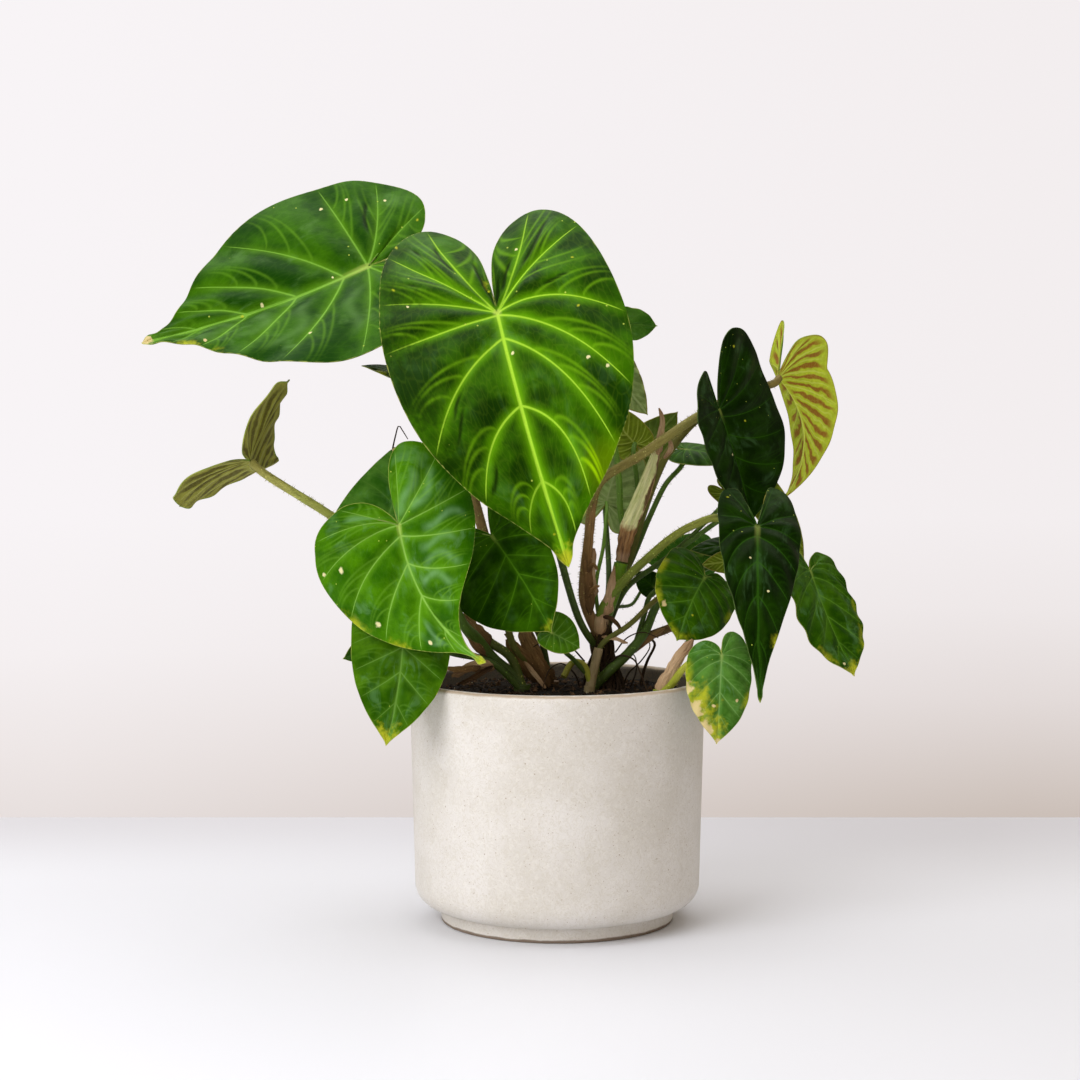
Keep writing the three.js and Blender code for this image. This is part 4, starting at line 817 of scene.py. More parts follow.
def vein_masks(s, scale):
    """Where the veins run: the midrib, the laterals with their halos, the small veins and the network."""
    vein, share = s.pair("Vein")
    gap, middle, edge, ray = (s.value(name) for name in ("gap", "mid", "edge", "ray"))
    away = s.times(s.math("ABSOLUTE", s.minus(vein, s.math("ROUND", vein))), gap)
    width = s.between(share, 0.62 * scale, 0.24 * scale)
    core = s.times(s.fade(s.math("DIVIDE", away, width), 1.5, 0.4), ray, s.fade(share, 1.0, 0.9))
    near_core = s.times(s.fade(away, 2.6 * scale, 0.0), ray, s.fade(share, 1.05, 0.5))
    near_rib = s.fade(middle, 4.2 * scale, 0.6 * scale)
    net = s.cells(1 / MM, "DISTANCE_TO_EDGE", s.join(s.times(vein, 4.0), s.times(share, 20.0)))
    return dict(vein=vein, share=share, edge=edge, core=core,
        halo=s.times(s.fade(away, 5.5 * scale, 0.0), ray, s.fade(share, 1.1, 0.6)),
        rib=s.fade(middle, 1.3 * scale, 0.4 * scale),
        rib_halo=s.fade(middle, 7.5 * scale, 0.5 * scale),
        inner=s.math("POWER", s.most(near_core, near_rib), 1.6),
        arcs=small_veins(s, vein, share, gap, scale),
        network=s.fade(net.outputs["Distance"], 0.12, 0.0))


def small_veins(s, vein, share, gap, scale):
    """The arcs that leave each lateral and bow towards the next, where the field between them is wide."""
    number = s.math("CEIL", vein)
    upward = s.minus(number, vein)
    downward = s.minus(1.0, upward)
    toward_tip = s.fade(vein, 3.2, 2.8)
    arcs = []
    for start, reach, tipward in VEIN_ARCS:
        index = number if tipward else s.minus(number, 1.0)
        origin = s.add(s.times(s.math("SINE", s.times(index, 2.3)), 0.07), start)
        grown = s.math("DIVIDE", s.minus(share, origin), 1 - start)
        bowed = s.math("POWER", s.most(grown, 0.0), 0.62)
        falling = s.minus(1.0, s.times(s.math("POWER", grown, 2.0), 0.35))
        apart = s.minus(upward if tipward else downward, s.times(bowed, falling, reach))
        near = s.fade(s.times(s.math("ABSOLUTE", apart), gap), 1.9 * scale, 0.0)
        arc = s.times(s.math("POWER", near, 2.2), s.fade(grown, -0.02, 0.05), s.fade(grown, 1.2, 0.4))
        arcs.append(arc if tipward else s.times(arc, toward_tip))
    return s.times(s.most(*arcs), s.fade(gap, 5.0 * scale, 15.0 * scale))


def add_marks(s, colour, place, edge, marks):
    """Yellowed, dried and scarred spots, and deep spots of painted shade, with uneven edges. An edge mark
    only tints the margin.
    """
    wander = s.node("TexNoise", {"Vector": place, "Scale": 30.0, "Detail": 4.0}).outputs["Color"]
    shaken = s.node("VectorMath", {0: wander, 1: (0.5, 0.5, 0.5)}, operation="SUBTRACT").outputs[0]
    for kind, (rgb, share, softness) in MARK_KINDS.items():
        spots = []
        for x, y, radius, mark in marks:
            if mark == kind:
                swing = {0: shaken, "Scale": 2 * radius / MAP_UNIT}
                moved = {0: place, 1: s.node("VectorMath", swing, operation="SCALE").outputs[0]}
                moved = s.node("VectorMath", moved, operation="ADD").outputs[0]
                spots.append(s.spot(moved, x, y, radius, softness))
        if spots:
            total = s.most(*spots)
            if kind == "edge":
                total = s.times(total, s.fade(s.add(edge, s.times(s.noise(3, 3), -2.0)), 3.6, -0.6))
            colour = s.over(colour, rgb, total, share)
    return colour


def upper_material(name, look, scale, plan):
    """The upper face of a blade: dark fields between glowing veins, painted sheens, pleats darkened with
    painted shade, a painted glow where one is given, and a pale margin.
    """
    s = Shader(name + "_upper")
    m = vein_masks(s, scale)
    strength = look["veins"]
    mottle = s.noise(5 * scale, 4, 0.6)
    colour = s.mix(s.fade(s.noise(26 * scale, 3), 0.36, 0.66), look["deep"], look["fresh"])
    colour = s.over(colour, look["deep"], s.fade(mottle, 0.4, 0.75), 0.4)
    around = s.times(s.most(m["halo"], m["rib_halo"]), s.between(s.noise(13 * scale, 2), 0.35, 1.0))
    colour = s.over(colour, look["halo"], around, strength)
    streaks = s.streaks(m["vein"], 1.1, m["share"], 3.6, 4, 0.6, 0.9)
    # Painted sheen: pale streaks of reflected light painted into the colour, with the given sheen strokes
    painted_sheen = s.times(s.fade(streaks, 0.5, 0.68), s.fade(s.noise(30 * scale, 2), 0.42, 0.6), look["painted_sheen"])
    painted_sheen = s.most(painted_sheen, s.times(s.value("sheen"), s.between(streaks, 0.1, 1.3), 0.6))
    colour = s.over(colour, look["sheen"], painted_sheen)
    colour = s.over(colour, look["vein"], m["network"], 0.035 * strength)
    bright = [(2 * h + v) / 3 for h, v in zip(look["halo"], look["vein"])]
    broken = s.between(s.noise(10 * scale, 2), 0.25, 1.0)
    for mask in (m["arcs"], m["inner"]):
        colour = s.over(colour, bright, mask, broken, 0.75 * strength)
    # Pleats painted dark as shade
    colour = s.over(colour, PLEAT_SHADE_TONE, s.fade(s.value("pleat"), 0.15, 1.0), 0.85)
    place = s.node("UVMap", uv_map="Place").outputs["UV"]
    # A painted glow of light through the blade round one spot, strongest at its veins
    if plan["glow"]:
        glow = s.spot(place, *plan["glow"], 0.8)
        colour = s.over(colour, PAINTED_GLOW_TONE, glow, s.most(around, m["arcs"], 0.2))
    colour = s.over(colour, look["vein"], s.most(s.times(m["core"], 0.85), m["rib"]), strength)
    hub = s.times(s.fade(m["rib_halo"], 0.7, 1.0), s.fade(m["share"], 0.2, 0.0), s.fade(m["vein"], 4.6, 3.0))
    colour = s.over(colour, HUB_TONE, hub, 0.5 * strength)
    specks = s.node("TexVoronoi", {"Vector": place, "Scale": 17.0 / scale})
    chosen = s.math("GREATER_THAN", s.lot(specks), 0.8)
    colour = s.over(colour, SPECK_TONE, s.fade(specks.outputs["Distance"], 0.1, 0.06), chosen, 0.7)
    colour = add_marks(s, colour, place, m["edge"], plan["marks"])
    margin = s.times(s.fade(m["edge"], 0.34 * scale + 0.2, 0.12), s.between(s.noise(11, 2), 0.0, 1.1))
    colour = s.over(colour, look["margin"], margin)
    relief = s.minus(s.times(mottle, 0.7), s.times(m["network"], 0.15))
    normal = s.bump(relief, 0.3, 0.35 * scale, s.bump(s.noise(0.6, 2), 0.1, 0.2))
    rough = s.minus(s.between(mottle, 0.38, 0.58), s.times(painted_sheen, 0.08))
    return s.finish(colour, rough, normal, 0.16, UPPER_GLOSS)


def under_material(name, look, scale):
    """The underside of a blade: paler, with raised veins and darker bands between them."""
    s = Shader(name + "_under")
    m = vein_masks(s, scale)
    mottle = s.noise(6 * scale, 4, 0.6)
    colour = s.mix(s.fade(mottle, 0.3, 0.75), look["under"], [c * 1.15 for c in look["under"]])
    shaken = s.add(s.times(m["vein"], 2.0), s.swing(s.noise(18 * scale, 2), 0.9))
    middle = s.math("ABSOLUTE", s.minus(s.math("FRACT", shaken), 0.5))
    swell = s.streaks(m["vein"], 1.6, m["share"], 3.2, 2, 0.5)
    band = s.times(s.fade(s.add(middle, s.times(swell, 0.55)), 0.56, 0.38), s.fade(m["share"], 0.03, 0.16),
        s.fade(m["share"], 1.0, 0.82))
    colour = s.over(colour, look["band"], band, look["bands"])
    minor = s.times(s.fade(middle, 0.38, 0.5), s.fade(m["share"], 0.99, 0.8), look["minor"])
    lines = s.most(m["core"], m["rib"])
    for mask, share in ((minor, 1.0), (m["network"], 0.12), (lines, 0.9)):
        colour = s.over(colour, look["under_vein"], mask, share)
    colour = s.over(colour, look["rim"], s.fade(m["edge"], 0.9 * scale + 0.3, 0.2), 0.7)
    raised = s.add(s.most(lines, minor), s.times(mottle, 0.4))
    normal = s.bump(raised, 0.4, 0.4 * scale)
    return s.finish(colour, s.between(mottle, 0.5, 0.7), normal, 0.16, UNDER_GLOSS)


def stem_material(name, look):
    """A stem, streaked along its length, with flecks and scars."""
    s = Shader(name)
    along, around = s.pair("Stem")
    tones = look["tones"]
    stops = [(i / (len(tones) - 1), rgb) for i, rgb in enumerate(tones)]
    colour = s.ramp(s.add(along, s.swing(s.noise(9, 3), 0.25)), stops)
    streaks = s.streaks(s.value("run"), 0.12, around, 9.0, 4, 0.6)
    colour = s.over(colour, look["streak"], s.fade(streaks, 0.45, 0.75), 0.75)
    pale = [min(255, c * 1.35 + 20) for c in tones[-1]]
    fleck = s.times(s.fade(s.cells(1.7).outputs["Distance"], 0.28, 0.1), s.fade(s.noise(4, 2), 0.45, 0.6))
    colour = s.over(colour, pale, fleck, 0.55)
    normal = s.bump(s.add(streaks, s.times(s.noise(0.8, 3), 0.5)), 0.6, 0.4)
    return s.finish(colour, s.math("MULTIPLY_ADD", streaks, 0.25, look["rough"] - 0.12), normal, 0.3)


def pot_material():
    """Satin off-white stoneware with brown specks, faint curled mottling, and bare clay at its edges; the
    bare foot is darkened as painted shade of the recess under it, and the inner wall has soil stain with
    painted shade.
    """
    s = Shader("speckled_stoneware")
    height = s.node("SeparateXYZ", {0: s.position}).outputs["Z"]
    body = s.mix(s.fade(s.noise(38, 3), 0.35, 0.68), GLAZE["low"], GLAZE["high"])
    curls = s.noise(5.5, 4, 0.55, twist=2.2)
    curl = s.fade(s.math("ABSOLUTE", s.minus(curls, 0.5)), 0.045, 0.0)
    body = s.over(body, GLAZE["curl"], curl, 0.42)
    body = s.over(body, GLAZE["cloud"], s.fade(s.noise(2.4, 3, 0.6, twist=1.2), 0.48, 0.64), 0.28)
    grain = s.noise(0.9, 3, 0.6)
    body = s.over(body, GLAZE["grain"], s.fade(grain, 0.5, 0.72), 0.3)
    for spacing, radius, without in GLAZE_SPECKS:
        dots = s.cells(spacing)
        chosen = s.fade(s.lot(dots), without, without + 0.05)
        speck = s.times(s.fade(dots.outputs["Distance"], radius, radius * 0.4), chosen)
        body = s.over(body, GLAZE["speck"], speck, 0.7)
    drift = s.swing(s.noise(7, 3), 1.2 * MM)
    wavy = s.add(height, drift)
    foot = s.fade(wavy, 2 * MM, 1.3 * MM)
    body = s.over(body, GLAZE["rim"], s.fade(wavy, 123.2 * MM, 124.3 * MM),
        s.fade(wavy, 125.15 * MM, 124.5 * MM), 0.75)
    # The foot's band: bare clay, darkened as painted shade of the recess under the pot
    body = s.over(body, GLAZE["foot"], foot, 0.85)
    # Soil stain with painted shade on the inner wall above the soil
    out = s.node("VectorMath", {0: s.position, 1: (1, 1, 0)}, operation="MULTIPLY").outputs[0]
    reach = s.add(s.node("VectorMath", {0: out}, operation="LENGTH").outputs["Value"], s.times(drift, 1.5))
    inside = s.times(s.fade(reach, 72.8 * MM, 70.8 * MM), s.fade(wavy, 124.5 * MM, 123.5 * MM),
        s.fade(height, 50 * MM, 60 * MM))
    body = s.over(body, s.mix(s.fade(grain, 0.4, 0.6), GLAZE["inner_stain_and_shade"], GLAZE["inner_dust_and_shade"]), inside, 0.9)
    normal = s.bump(s.add(s.times(curls, 0.6), s.times(grain, 0.25)), 0.16, 0.35)
    rough = s.add(s.math("MULTIPLY_ADD", grain, 0.16, 0.36), s.times(foot, 0.3))
    return s.finish(body, rough, normal, 0.42)


def soil_material(name, dark, pale):
    """Matt mottled soil or bark, with a few brown chunks."""
    s = Shader(name)
    mottle = s.noise(4, 5, 0.7)
    chunks = s.cells(2.4)
    colour = s.mix(s.fade(mottle, 0.35, 0.75), dark, pale)
    colour = s.over(colour, CHUNK_TONE, s.fade(s.lot(chunks), 0.9, 0.95), 0.5)
    normal = s.bump(s.add(mottle, chunks.outputs["Distance"]), 0.8, 1.0)
    return s.finish(colour, s.math("MULTIPLY_ADD", mottle, 0.2, 0.78), normal, 0.2)


def bead_material(name, rgb):
    s = Shader(name)
    colour = s.mix(s.noise(0.8, 3), [c * 0.82 for c in rgb], rgb)
    return s.finish(colour, s.between(s.noise(1.5, 2), 0.5, 0.75), s.bump(s.noise(0.5, 3), 0.4, 0.2), 0.3)


def sheath_material():
    """Brown papery skin with a cream patch on one side, a dark line round that patch, and fibres."""
    s = Shader("cataphyll_skin")
    tones = SHEATH_TONES
    across = s.node("SeparateXYZ", {0: s.position}).outputs["X"]
    share, around = s.pair("Stem")
    run = s.value("run")
    streaks = s.streaks(run, 0.07, around, 16.0, 4, 0.65, 0.4)
    fibres = s.streaks(run, 0.16, around, 42.0, 3, 0.6)
    brown = s.over(s.ramp(share, SHEATH_BROWNS), tones["streak"], s.fade(streaks, 0.4, 0.66), 0.85)
    brown = s.over(brown, tones["fibre"], s.fade(fibres, 0.52, 0.72), 0.5)
    cream = s.mix(s.fade(streaks, 0.35, 0.7), tones["cream"], tones["green"])
    cream = s.over(cream, tones["pale"], s.fade(fibres, 0.5, 0.75), 0.35)
    side = s.minus(s.between(share, *SHEATH_AXIS), across)
    side = s.add(side, s.swing(s.noise(9, 3, 0.6), 5 * MM))
    upper = s.add(share, s.swing(s.noise(6, 2), 0.2))
    patch = s.times(s.fade(side, -1.4 * MM, -0.2 * MM), s.fade(upper, 0.22, 0.3), s.fade(upper, 0.9, 0.8))
    colour = s.mix(patch, brown, cream)
    colour = s.over(colour, tones["rim"], s.fade(side, -2.8 * MM, -1.4 * MM),
        s.fade(side, -0.6 * MM, -1.4 * MM), s.fade(share, 0.26, 0.4), 0.7)
    colour = s.over(colour, tones["foot"], s.fade(share, 0.09, 0.03), 0.4)
    normal = s.bump(s.add(streaks, s.times(fibres, 0.7)), 0.8, 0.6)
    return s.finish(colour, s.between(streaks, 0.6, 0.8), normal)


def table_material():
    """A pale matt top, with painted shade that makes it a little darker to the right and at the back."""
    s = Shader("table_top")
    place = s.node("SeparateXYZ", {0: s.position}).outputs
    colour = s.mix(s.between(s.noise(300, 2), 0, 0.3), *TABLE_TONES)
    # Painted shade to the right and at the back
    colour = s.over(colour, TABLE_TONES[1], s.fade(place["X"], -0.35, 0.35))
    colour = s.over(colour, TABLE_BACK_SHADE, s.fade(place["Y"], 0.08, TABLE_EDGE))
    return s.finish(colour, 0.5)


# Blades

def bend_arc(curvature, length):
    """Where a straight length ends when it bends evenly: how far ahead, and how far aside."""
    straight = np.abs(curvature * length) < 1e-6
    safe = np.where(straight, 1, curvature)
    forward = np.where(straight, length, np.sin(safe * length) / safe)
    aside = np.where(straight, 0, (1 - np.cos(safe * length)) / safe)
    return forward, aside


def blade_frame(blade):
    """Hub, length, and the directions across a blade, to its tip and out of its upper face."""
    hub = np.array(blade["hub"], float)
    chord = np.array(blade["tip"], float) - hub
    span = np.linalg.norm(chord)
    chord /= span
    half = math.radians(blade["droop"]) / 2
    length = span * half / math.sin(half)
    up = np.array(blade["face"], float)
    up = turned(unit(up - chord * (up @ chord)), chord, math.radians(blade["roll"]))
    to_tip = chord * math.cos(half) + up * math.sin(half)
    out = up * math.cos(half) - chord * math.sin(half)
    return hub, length, np.cross(to_tip, out), to_tip, out


def half_margin(blade, half, length, shares):
    """Flat places along the margin of one half, from the notch to the tip."""
    lobe = blade["lobe"][half]
    mean_lobe = sum(blade["lobe"]) / 2
    points = []
    for i, (x, y) in enumerate(HALF_OUTLINE):
        spread = x + blade["notch"] * NOTCH_SPREAD.get(i, 0) + blade["belly"] * BELLY_SPREAD.get(i, 0)
        along = y * (lobe if i else mean_lobe) if y < 0 else y * length
        along += blade["low"] * length * LOW_SHIFT.get(i, 0)
        points.append((spread * blade["width"][half], along))
    return along_curve(points, shares, False)[0]


def flat_half(blade, half, length, veins, shares, plan):
    """Flat places of one half for vein numbers (rows) and shares of the way to the margin (columns)."""
    end = half_margin(blade, half, length, table(plan["ends"][half], veins))
    start = np.c_[np.zeros(len(veins)), table(plan["starts"], veins) * length]
    line = np.degrees(np.arctan2(end[:, 0], end[:, 1] - start[:, 1]))
    steepest = line + LOBE_BOW * np.maximum(0, veins - 1)
    heading = np.radians(np.minimum(table(plan["headings"][half], veins), steepest))
    reach = VEIN_BOW * np.linalg.norm(end - start, axis=1)
    bend = start + reach[:, None] * np.c_[np.sin(heading), np.cos(heading)]
    u = shares[None, :, None]
    return start[:, None] * (1 - u) ** 2 + 2 * bend[:, None] * u * (1 - u) + end[:, None] * u ** 2


def bend_half(blade, half, place, flat, veins, shares):
    """Where the flat places of one half lie in space, with its fold, curl, droop, twist, sweep and waves."""
    hub, length, across, to_tip, out = place
    x, y = flat[..., 0], flat[..., 1]
    lobe_bow = math.radians(blade["lobe_droop"]) / (sum(blade["lobe"]) / 2)
    bow = np.where(y >= 0, math.radians(blade["droop"]) / length, lobe_bow)
    along, drop = bend_arc(bow, y)
    flat_out, curled = bend_arc(-math.radians(blade["curl"][half]) / blade["width"][half], x)
    fold = math.radians(blade["fold"][half])
    side = 1 if half else -1
    outward = side * (flat_out * math.cos(fold) - curled * math.sin(fold))
    swing = np.sin(WAVE_RATE * math.pi * veins + WAVE_SHIFT * half) * np.sin(math.pi * veins / VEINS)
    ripple = blade["wave"] * swing[:, None] * shares[None] ** 2
    height = flat_out * math.sin(fold) + curled * math.cos(fold) + ripple
    turn = math.radians(blade["twist"]) * np.clip(y / length, -LOBE_TWIST, 1)
    ahead = np.clip(y / length, 0, 1)
    sideways = outward * np.cos(turn) - height * np.sin(turn) + blade["sweep"] * 4 * ahead * (1 - ahead)
    lift = outward * np.sin(turn) + height * np.cos(turn)
    lean = bow * y
    return (hub + sideways[..., None] * across + (along + lift * np.sin(lean))[..., None] * to_tip
        + (lift * np.cos(lean) - drop)[..., None] * out)


def strokes(veins, shares, gap, half, places, width, swing):
    """How strongly each place lies in one of the narrow strokes given as (half, vein, near, far), 0 to 1."""
    marks = np.zeros(gap.shape)
    for side, vein, near, far in places:
        if side == half:
            middle = vein + swing * np.sin(shares * 11 + vein)
            away = (veins[:, None] - middle[None]) * gap
            window = np.clip(np.minimum(shares - near, far - shares) * 9, 0, 1)
            marks = np.maximum(marks, np.exp(-(away / width) ** 2) * window[None])
    return marks


def relief(veins, shares, gap, middle, ray, pleats, scale, rng):
    """Height over the smooth form: sunken veins, puffed fields, pleats and a slow unevenness."""
    vein = veins[:, None]
    off = np.abs(vein - np.round(vein)) * gap
    fading = np.clip((1 - shares[None]) * 4, 0, 1)
    groove = -0.6 * scale * np.exp(-(off / (1.3 * scale)) ** 2) * ray * fading
    groove = groove - 0.6 * scale * np.exp(-(middle / (1.6 * scale)) ** 2)
    swell = np.sin(math.pi * (vein % 1)) ** 2 * np.sin(math.pi * shares[None]) ** 0.8
    puff = 0.13 * np.minimum(gap, 15) * swell * ray
    phase = waves(rng, 4)
    slow = 0.4 * scale * np.sin(vein * 2.1 + phase[0]) * np.sin(shares[None] * 5 + phase[1])
    slow = slow + 0.24 * scale * np.sin(vein * 5.3 + phase[2]) * np.sin(shares[None] * 11 + phase[3])
    height = groove + puff + slow * fading - 0.7 * scale * pleats
    return height * np.clip(shares[None] * 8, 0.3, 1)


def vein_strength(rays, veins):
    """The plainness of the nearest vein, flat round each vein and blended half way between."""
    low = np.minimum(np.floor(veins).astype(int), VEINS - 1)
    part = np.clip((veins - low - 0.35) / 0.3, 0, 1)
    rays = np.array(rays, float)
    return rays[low] * (1 - part) + rays[low + 1] * part


def half_values(blade, half, place, plan, veins, shares, scale, rng):
    """What each place of one half's grid has: its point and flat place, distances, strengths and relief."""
    length = place[1]
    flat = flat_half(blade, half, length, veins, shares, plan)
    by_vein = np.gradient(flat, veins, axis=0)
    by_share = np.gradient(flat, shares, axis=1)
    size = np.linalg.norm(by_share, axis=2) + 1e-6
    gap = np.abs(by_vein[..., 0] * by_share[..., 1] - by_vein[..., 1] * by_share[..., 0]) / size
    middle = np.where(flat[..., 1] >= 0, flat[..., 0], np.hypot(flat[..., 0], flat[..., 1]))
    spans = flat[:, :, None] - half_margin(blade, half, length, np.linspace(0, 1, MARGIN_STEPS))[None, None]
    ray = vein_strength(plan["rays"][half], veins)[:, None] * np.ones(len(shares))
    pleats = strokes(veins, shares, gap, half, plan["pleats"], 1.3 * scale, 0.06)
    return dict(point=bend_half(blade, half, place, flat, veins, shares), flat=flat * (1 if half else -1, 1),
        gap=gap, mid=middle, edge=np.sqrt((spans ** 2).sum(-1).min(-1)), ray=ray, pleat=pleats,
        sheen=strokes(veins, shares, gap, half, plan["sheens"], 3.2 * scale, 0.16),
        relief=relief(veins, shares, gap, middle, ray, pleats, scale, rng))


def blade_size(length, least):
    """How large a blade's veins or relief are, of full size."""
    return max(least, min(1.0, length / FULL_LENGTH))


def make_blade(name, blade, index):
    rows, cells = blade["mesh"]
    rng = np.random.default_rng(SEEDS["blades"] + index)
    place = blade_frame(blade)
    length = place[1]
    plan = {**PLAIN_PLAN, **VEIN_PLANS.get(name, {})}
    veins = VEINS * np.linspace(0, 1, rows + 1) ** ROW_EASE
    shares = np.linspace(0, 1, cells + 1)
    halves = [half_values(blade, half, place, plan, veins, shares, blade_size(length, LEAST_RELIEF), rng)
        for half in (0, 1)]
    grids = {key: np.array([values[key] for values in halves]) for key in halves[0]}
    flats = grids["flat"].reshape(-1, 2)
    _, first, number = np.unique(np.round(flats, 3) + 0.0, axis=0, return_index=True, return_inverse=True)
    number = number.reshape(2, rows + 1, cells + 1)
    picked = {key: grid.reshape(len(flats), -1)[first] for key, grid in grids.items()}
    triangles, corner_pairs = blade_triangles(number, veins, shares)
    surface = picked["point"] + picked["relief"] * vertex_normals(picked["point"], triangles)
    body, faces, corners = thicken(surface, triangles, THICKNESS)
    look = {**PLAIN_LOOK, **LOOKS[blade["look"]]}
    scale = blade_size(length, LEAST_VEINS)
    materials = [upper_material(name, look, scale, plan), under_material(name, look, scale)]
    piece = new_piece(name.replace("blade", "leaf"), body, faces, materials, sharp=50)
    set_map(piece, "Vein", corner_pairs.reshape(-1, 2)[corners])
    set_map(piece, "Place", picked["flat"][faces.ravel() % len(surface)] / MAP_UNIT)
    for label in ("gap", "mid", "edge", "ray", "pleat", "sheen"):
        set_values(piece, label, np.tile(picked[label][:, 0], 2))
    side_of = np.zeros(len(faces), np.int32)
    side_of[len(triangles):2 * len(triangles)] = 1
    piece.data.polygons.foreach_set("material_index", side_of)
    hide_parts(name)


def blade_triangles(number, veins, shares):
    """Triangles of both halves, and the vein number and share at each of their corners."""
    row, cell = np.meshgrid(np.arange(len(veins) - 1), np.arange(len(shares) - 1), indexing="ij")
    corner = [(row, cell), (row, cell + 1), (row + 1, cell + 1), (row + 1, cell)]
    triangles, pairs = [], []
    for half in (0, 1):
        for order in ((0, 2, 3), (0, 1, 2)) if half else ((0, 3, 2), (0, 2, 1)):
            triangles.append(np.stack([number[half][corner[k]] for k in order], -1).reshape(-1, 3))
            pair = [np.stack([veins[corner[k][0]], shares[corner[k][1]]], -1) for k in order]
            pairs.append(np.stack(pair, -2).reshape(-1, 3, 2))
    triangles, pairs = np.concatenate(triangles), np.concatenate(pairs)
    a, b, c = triangles.T
    good = (a != b) & (b != c) & (c != a)
    return triangles[good], pairs[good]


def vertex_normals(points, triangles):
    a, b, c = (points[triangles[:, k]] for k in range(3))
    flat = np.cross(b - a, c - a)
    total = np.zeros_like(points)
    for k in range(3):
        np.add.at(total, triangles[:, k], flat)
    return total / (np.linalg.norm(total, axis=1)[:, None] + 1e-12)


def thicken(surface, triangles, thickness):
    """A closed body round a sheet, and the corner of the sheet that each of its corners copies."""
    normals = vertex_normals(surface, triangles)
    count = len(surface)
    body = np.concatenate([surface + normals * thickness / 2, surface - normals * thickness / 2])
    rim, rim_corners = rim_faces(triangles, count)
    faces = np.concatenate([triangles, triangles[:, ::-1] + count, rim])
    corner = np.arange(triangles.size).reshape(-1, 3)
    return body, faces, np.concatenate([corner, corner[:, ::-1], rim_corners]).ravel()


def rim_faces(triangles, count):
    """Faces that close a sheet's two sides along its margin, and the sheet's corners that theirs copy."""
    corner = np.arange(triangles.size).reshape(-1, 3)
    start = triangles.ravel()
    end = np.roll(triangles, -1, axis=1).ravel()
    start_corner = corner.ravel()
    end_corner = np.roll(corner, -1, axis=1).ravel()
    lonely = ~np.isin(start * count + end, end * count + start)
    s, e = start[lonely], end[lonely]
    sc, ec = start_corner[lonely], end_corner[lonely]
    faces = np.concatenate([np.c_[s, s + count, e + count], np.c_[s, e + count, e]])
    corners = np.concatenate([np.c_[sc, sc, ec], np.c_[sc, ec, ec]])
    return faces, corners


# Stems

def arrival(blade, start, radius):
    """The last points of a petiole that meets a blade's underside at its hub."""
    hub, _, _, _, out = blade_frame(blade)
    back = unit(np.array(start, float) - hub)
    square, along = PETIOLE_TILT
    lead = unit(back * along - out * square)
    edge = END_REACH * radius * math.sqrt(1 - (lead @ out) ** 2)
    end = hub - out * (CAD_THICKNESS / 2 + CLEARANCE + edge)
    return [end + lead * ARRIVAL, end]


def ring_faces(rings, sides):
    """Triangles of a closed body of rings in a row, whose points end with the middles of its two ends."""
    ring, side = np.meshgrid(np.arange(rings - 1), np.arange(sides), indexing="ij")
    a, b = ring * sides + side, ring * sides + (side + 1) % sides
    c, d = a + sides, b + sides
    around = np.arange(sides)
    after = (around + 1) % sides
    top = (rings - 1) * sides
    first = np.full(sides, rings * sides)
    return np.concatenate([np.stack([a, b, c], -1).reshape(-1, 3), np.stack([b, d, c], -1).reshape(-1, 3),
        np.c_[first, after, around], np.c_[first + 1, top + around, top + after]])


def tube(points, radii, flat=1.0, sides=STEM_SIDES, step=STEM_STEP, shape=None):
    """A closed tube: points, triangles, shares along and round it, its length and its line's frames."""
    length = along_curve(points, [0], True)[1]
    shares = np.linspace(0, 1, max(4, round(length / step)) + 1)
    line = along_curve(points, shares, True)[0]
    tangents, normals, binormals = steady_frames(line)
    radius = table(radii, shares * (len(radii) - 1))
    angles = 2 * math.pi * np.arange(sides) / sides
    reach = radius[:, None] * np.ones(sides)
    if shape:
        reach = reach * shape(shares[:, None], angles[None], length)
    body = (line[:, None] + normals[:, None] * (reach * np.cos(angles))[..., None]
        + binormals[:, None] * (flat * reach * np.sin(angles))[..., None]).reshape(-1, 3)
    body = np.concatenate([body, line[:1], line[-1:]])
    along = np.r_[np.repeat(shares, sides), 0, 1]
    turn = np.r_[np.tile(np.arange(sides) / sides, len(shares)), 0, 0]
    frames = (line, tangents, normals, binormals, radius)
    return body, ring_faces(len(shares), sides), along, turn, length, frames


def bristles(frames, density, rng):
    """Fine stiff hairs on a stem, each a slim closed spike."""
    line, tangents, normals, binormals, radius = frames
    count = max(1, int(density * len(line)))
    at = rng.uniform(0.12, 1, count) * (len(line) - 1)
    low = np.minimum(at.astype(int), len(line) - 2)
    share = (at - low)[:, None]
    centre, tangent, normal, binormal = (values[low] * (1 - share) + values[low + 1] * share
        for values in (line, tangents, normals, binormals))
    angle = rng.uniform(0, 2 * math.pi, count)[:, None]
    outward = normal * np.cos(angle) + binormal * np.sin(angle)
    foot = centre + outward * (table(radius, at)[:, None] - BRISTLE_SINK)
    lean = tangent * rng.uniform(-0.5, 0.5, (count, 1))
    tip = foot + (outward + lean) * (rng.uniform(0.5, 1, (count, 1)) * BRISTLE_REACH)
    beside = BRISTLE_WIDTH * np.cross(outward, tangent)
    ahead = BRISTLE_WIDTH * tangent
    corners = [foot + beside, foot - beside / 2 + ahead, foot - beside / 2 - ahead, tip]
    base = np.arange(count)[:, None] * 4
    faces = np.concatenate([base + [0, 1, 3], base + [1, 2, 3], base + [2, 0, 3], base + [0, 2, 1]])
    return np.stack(corners, 1).reshape(-1, 3), faces


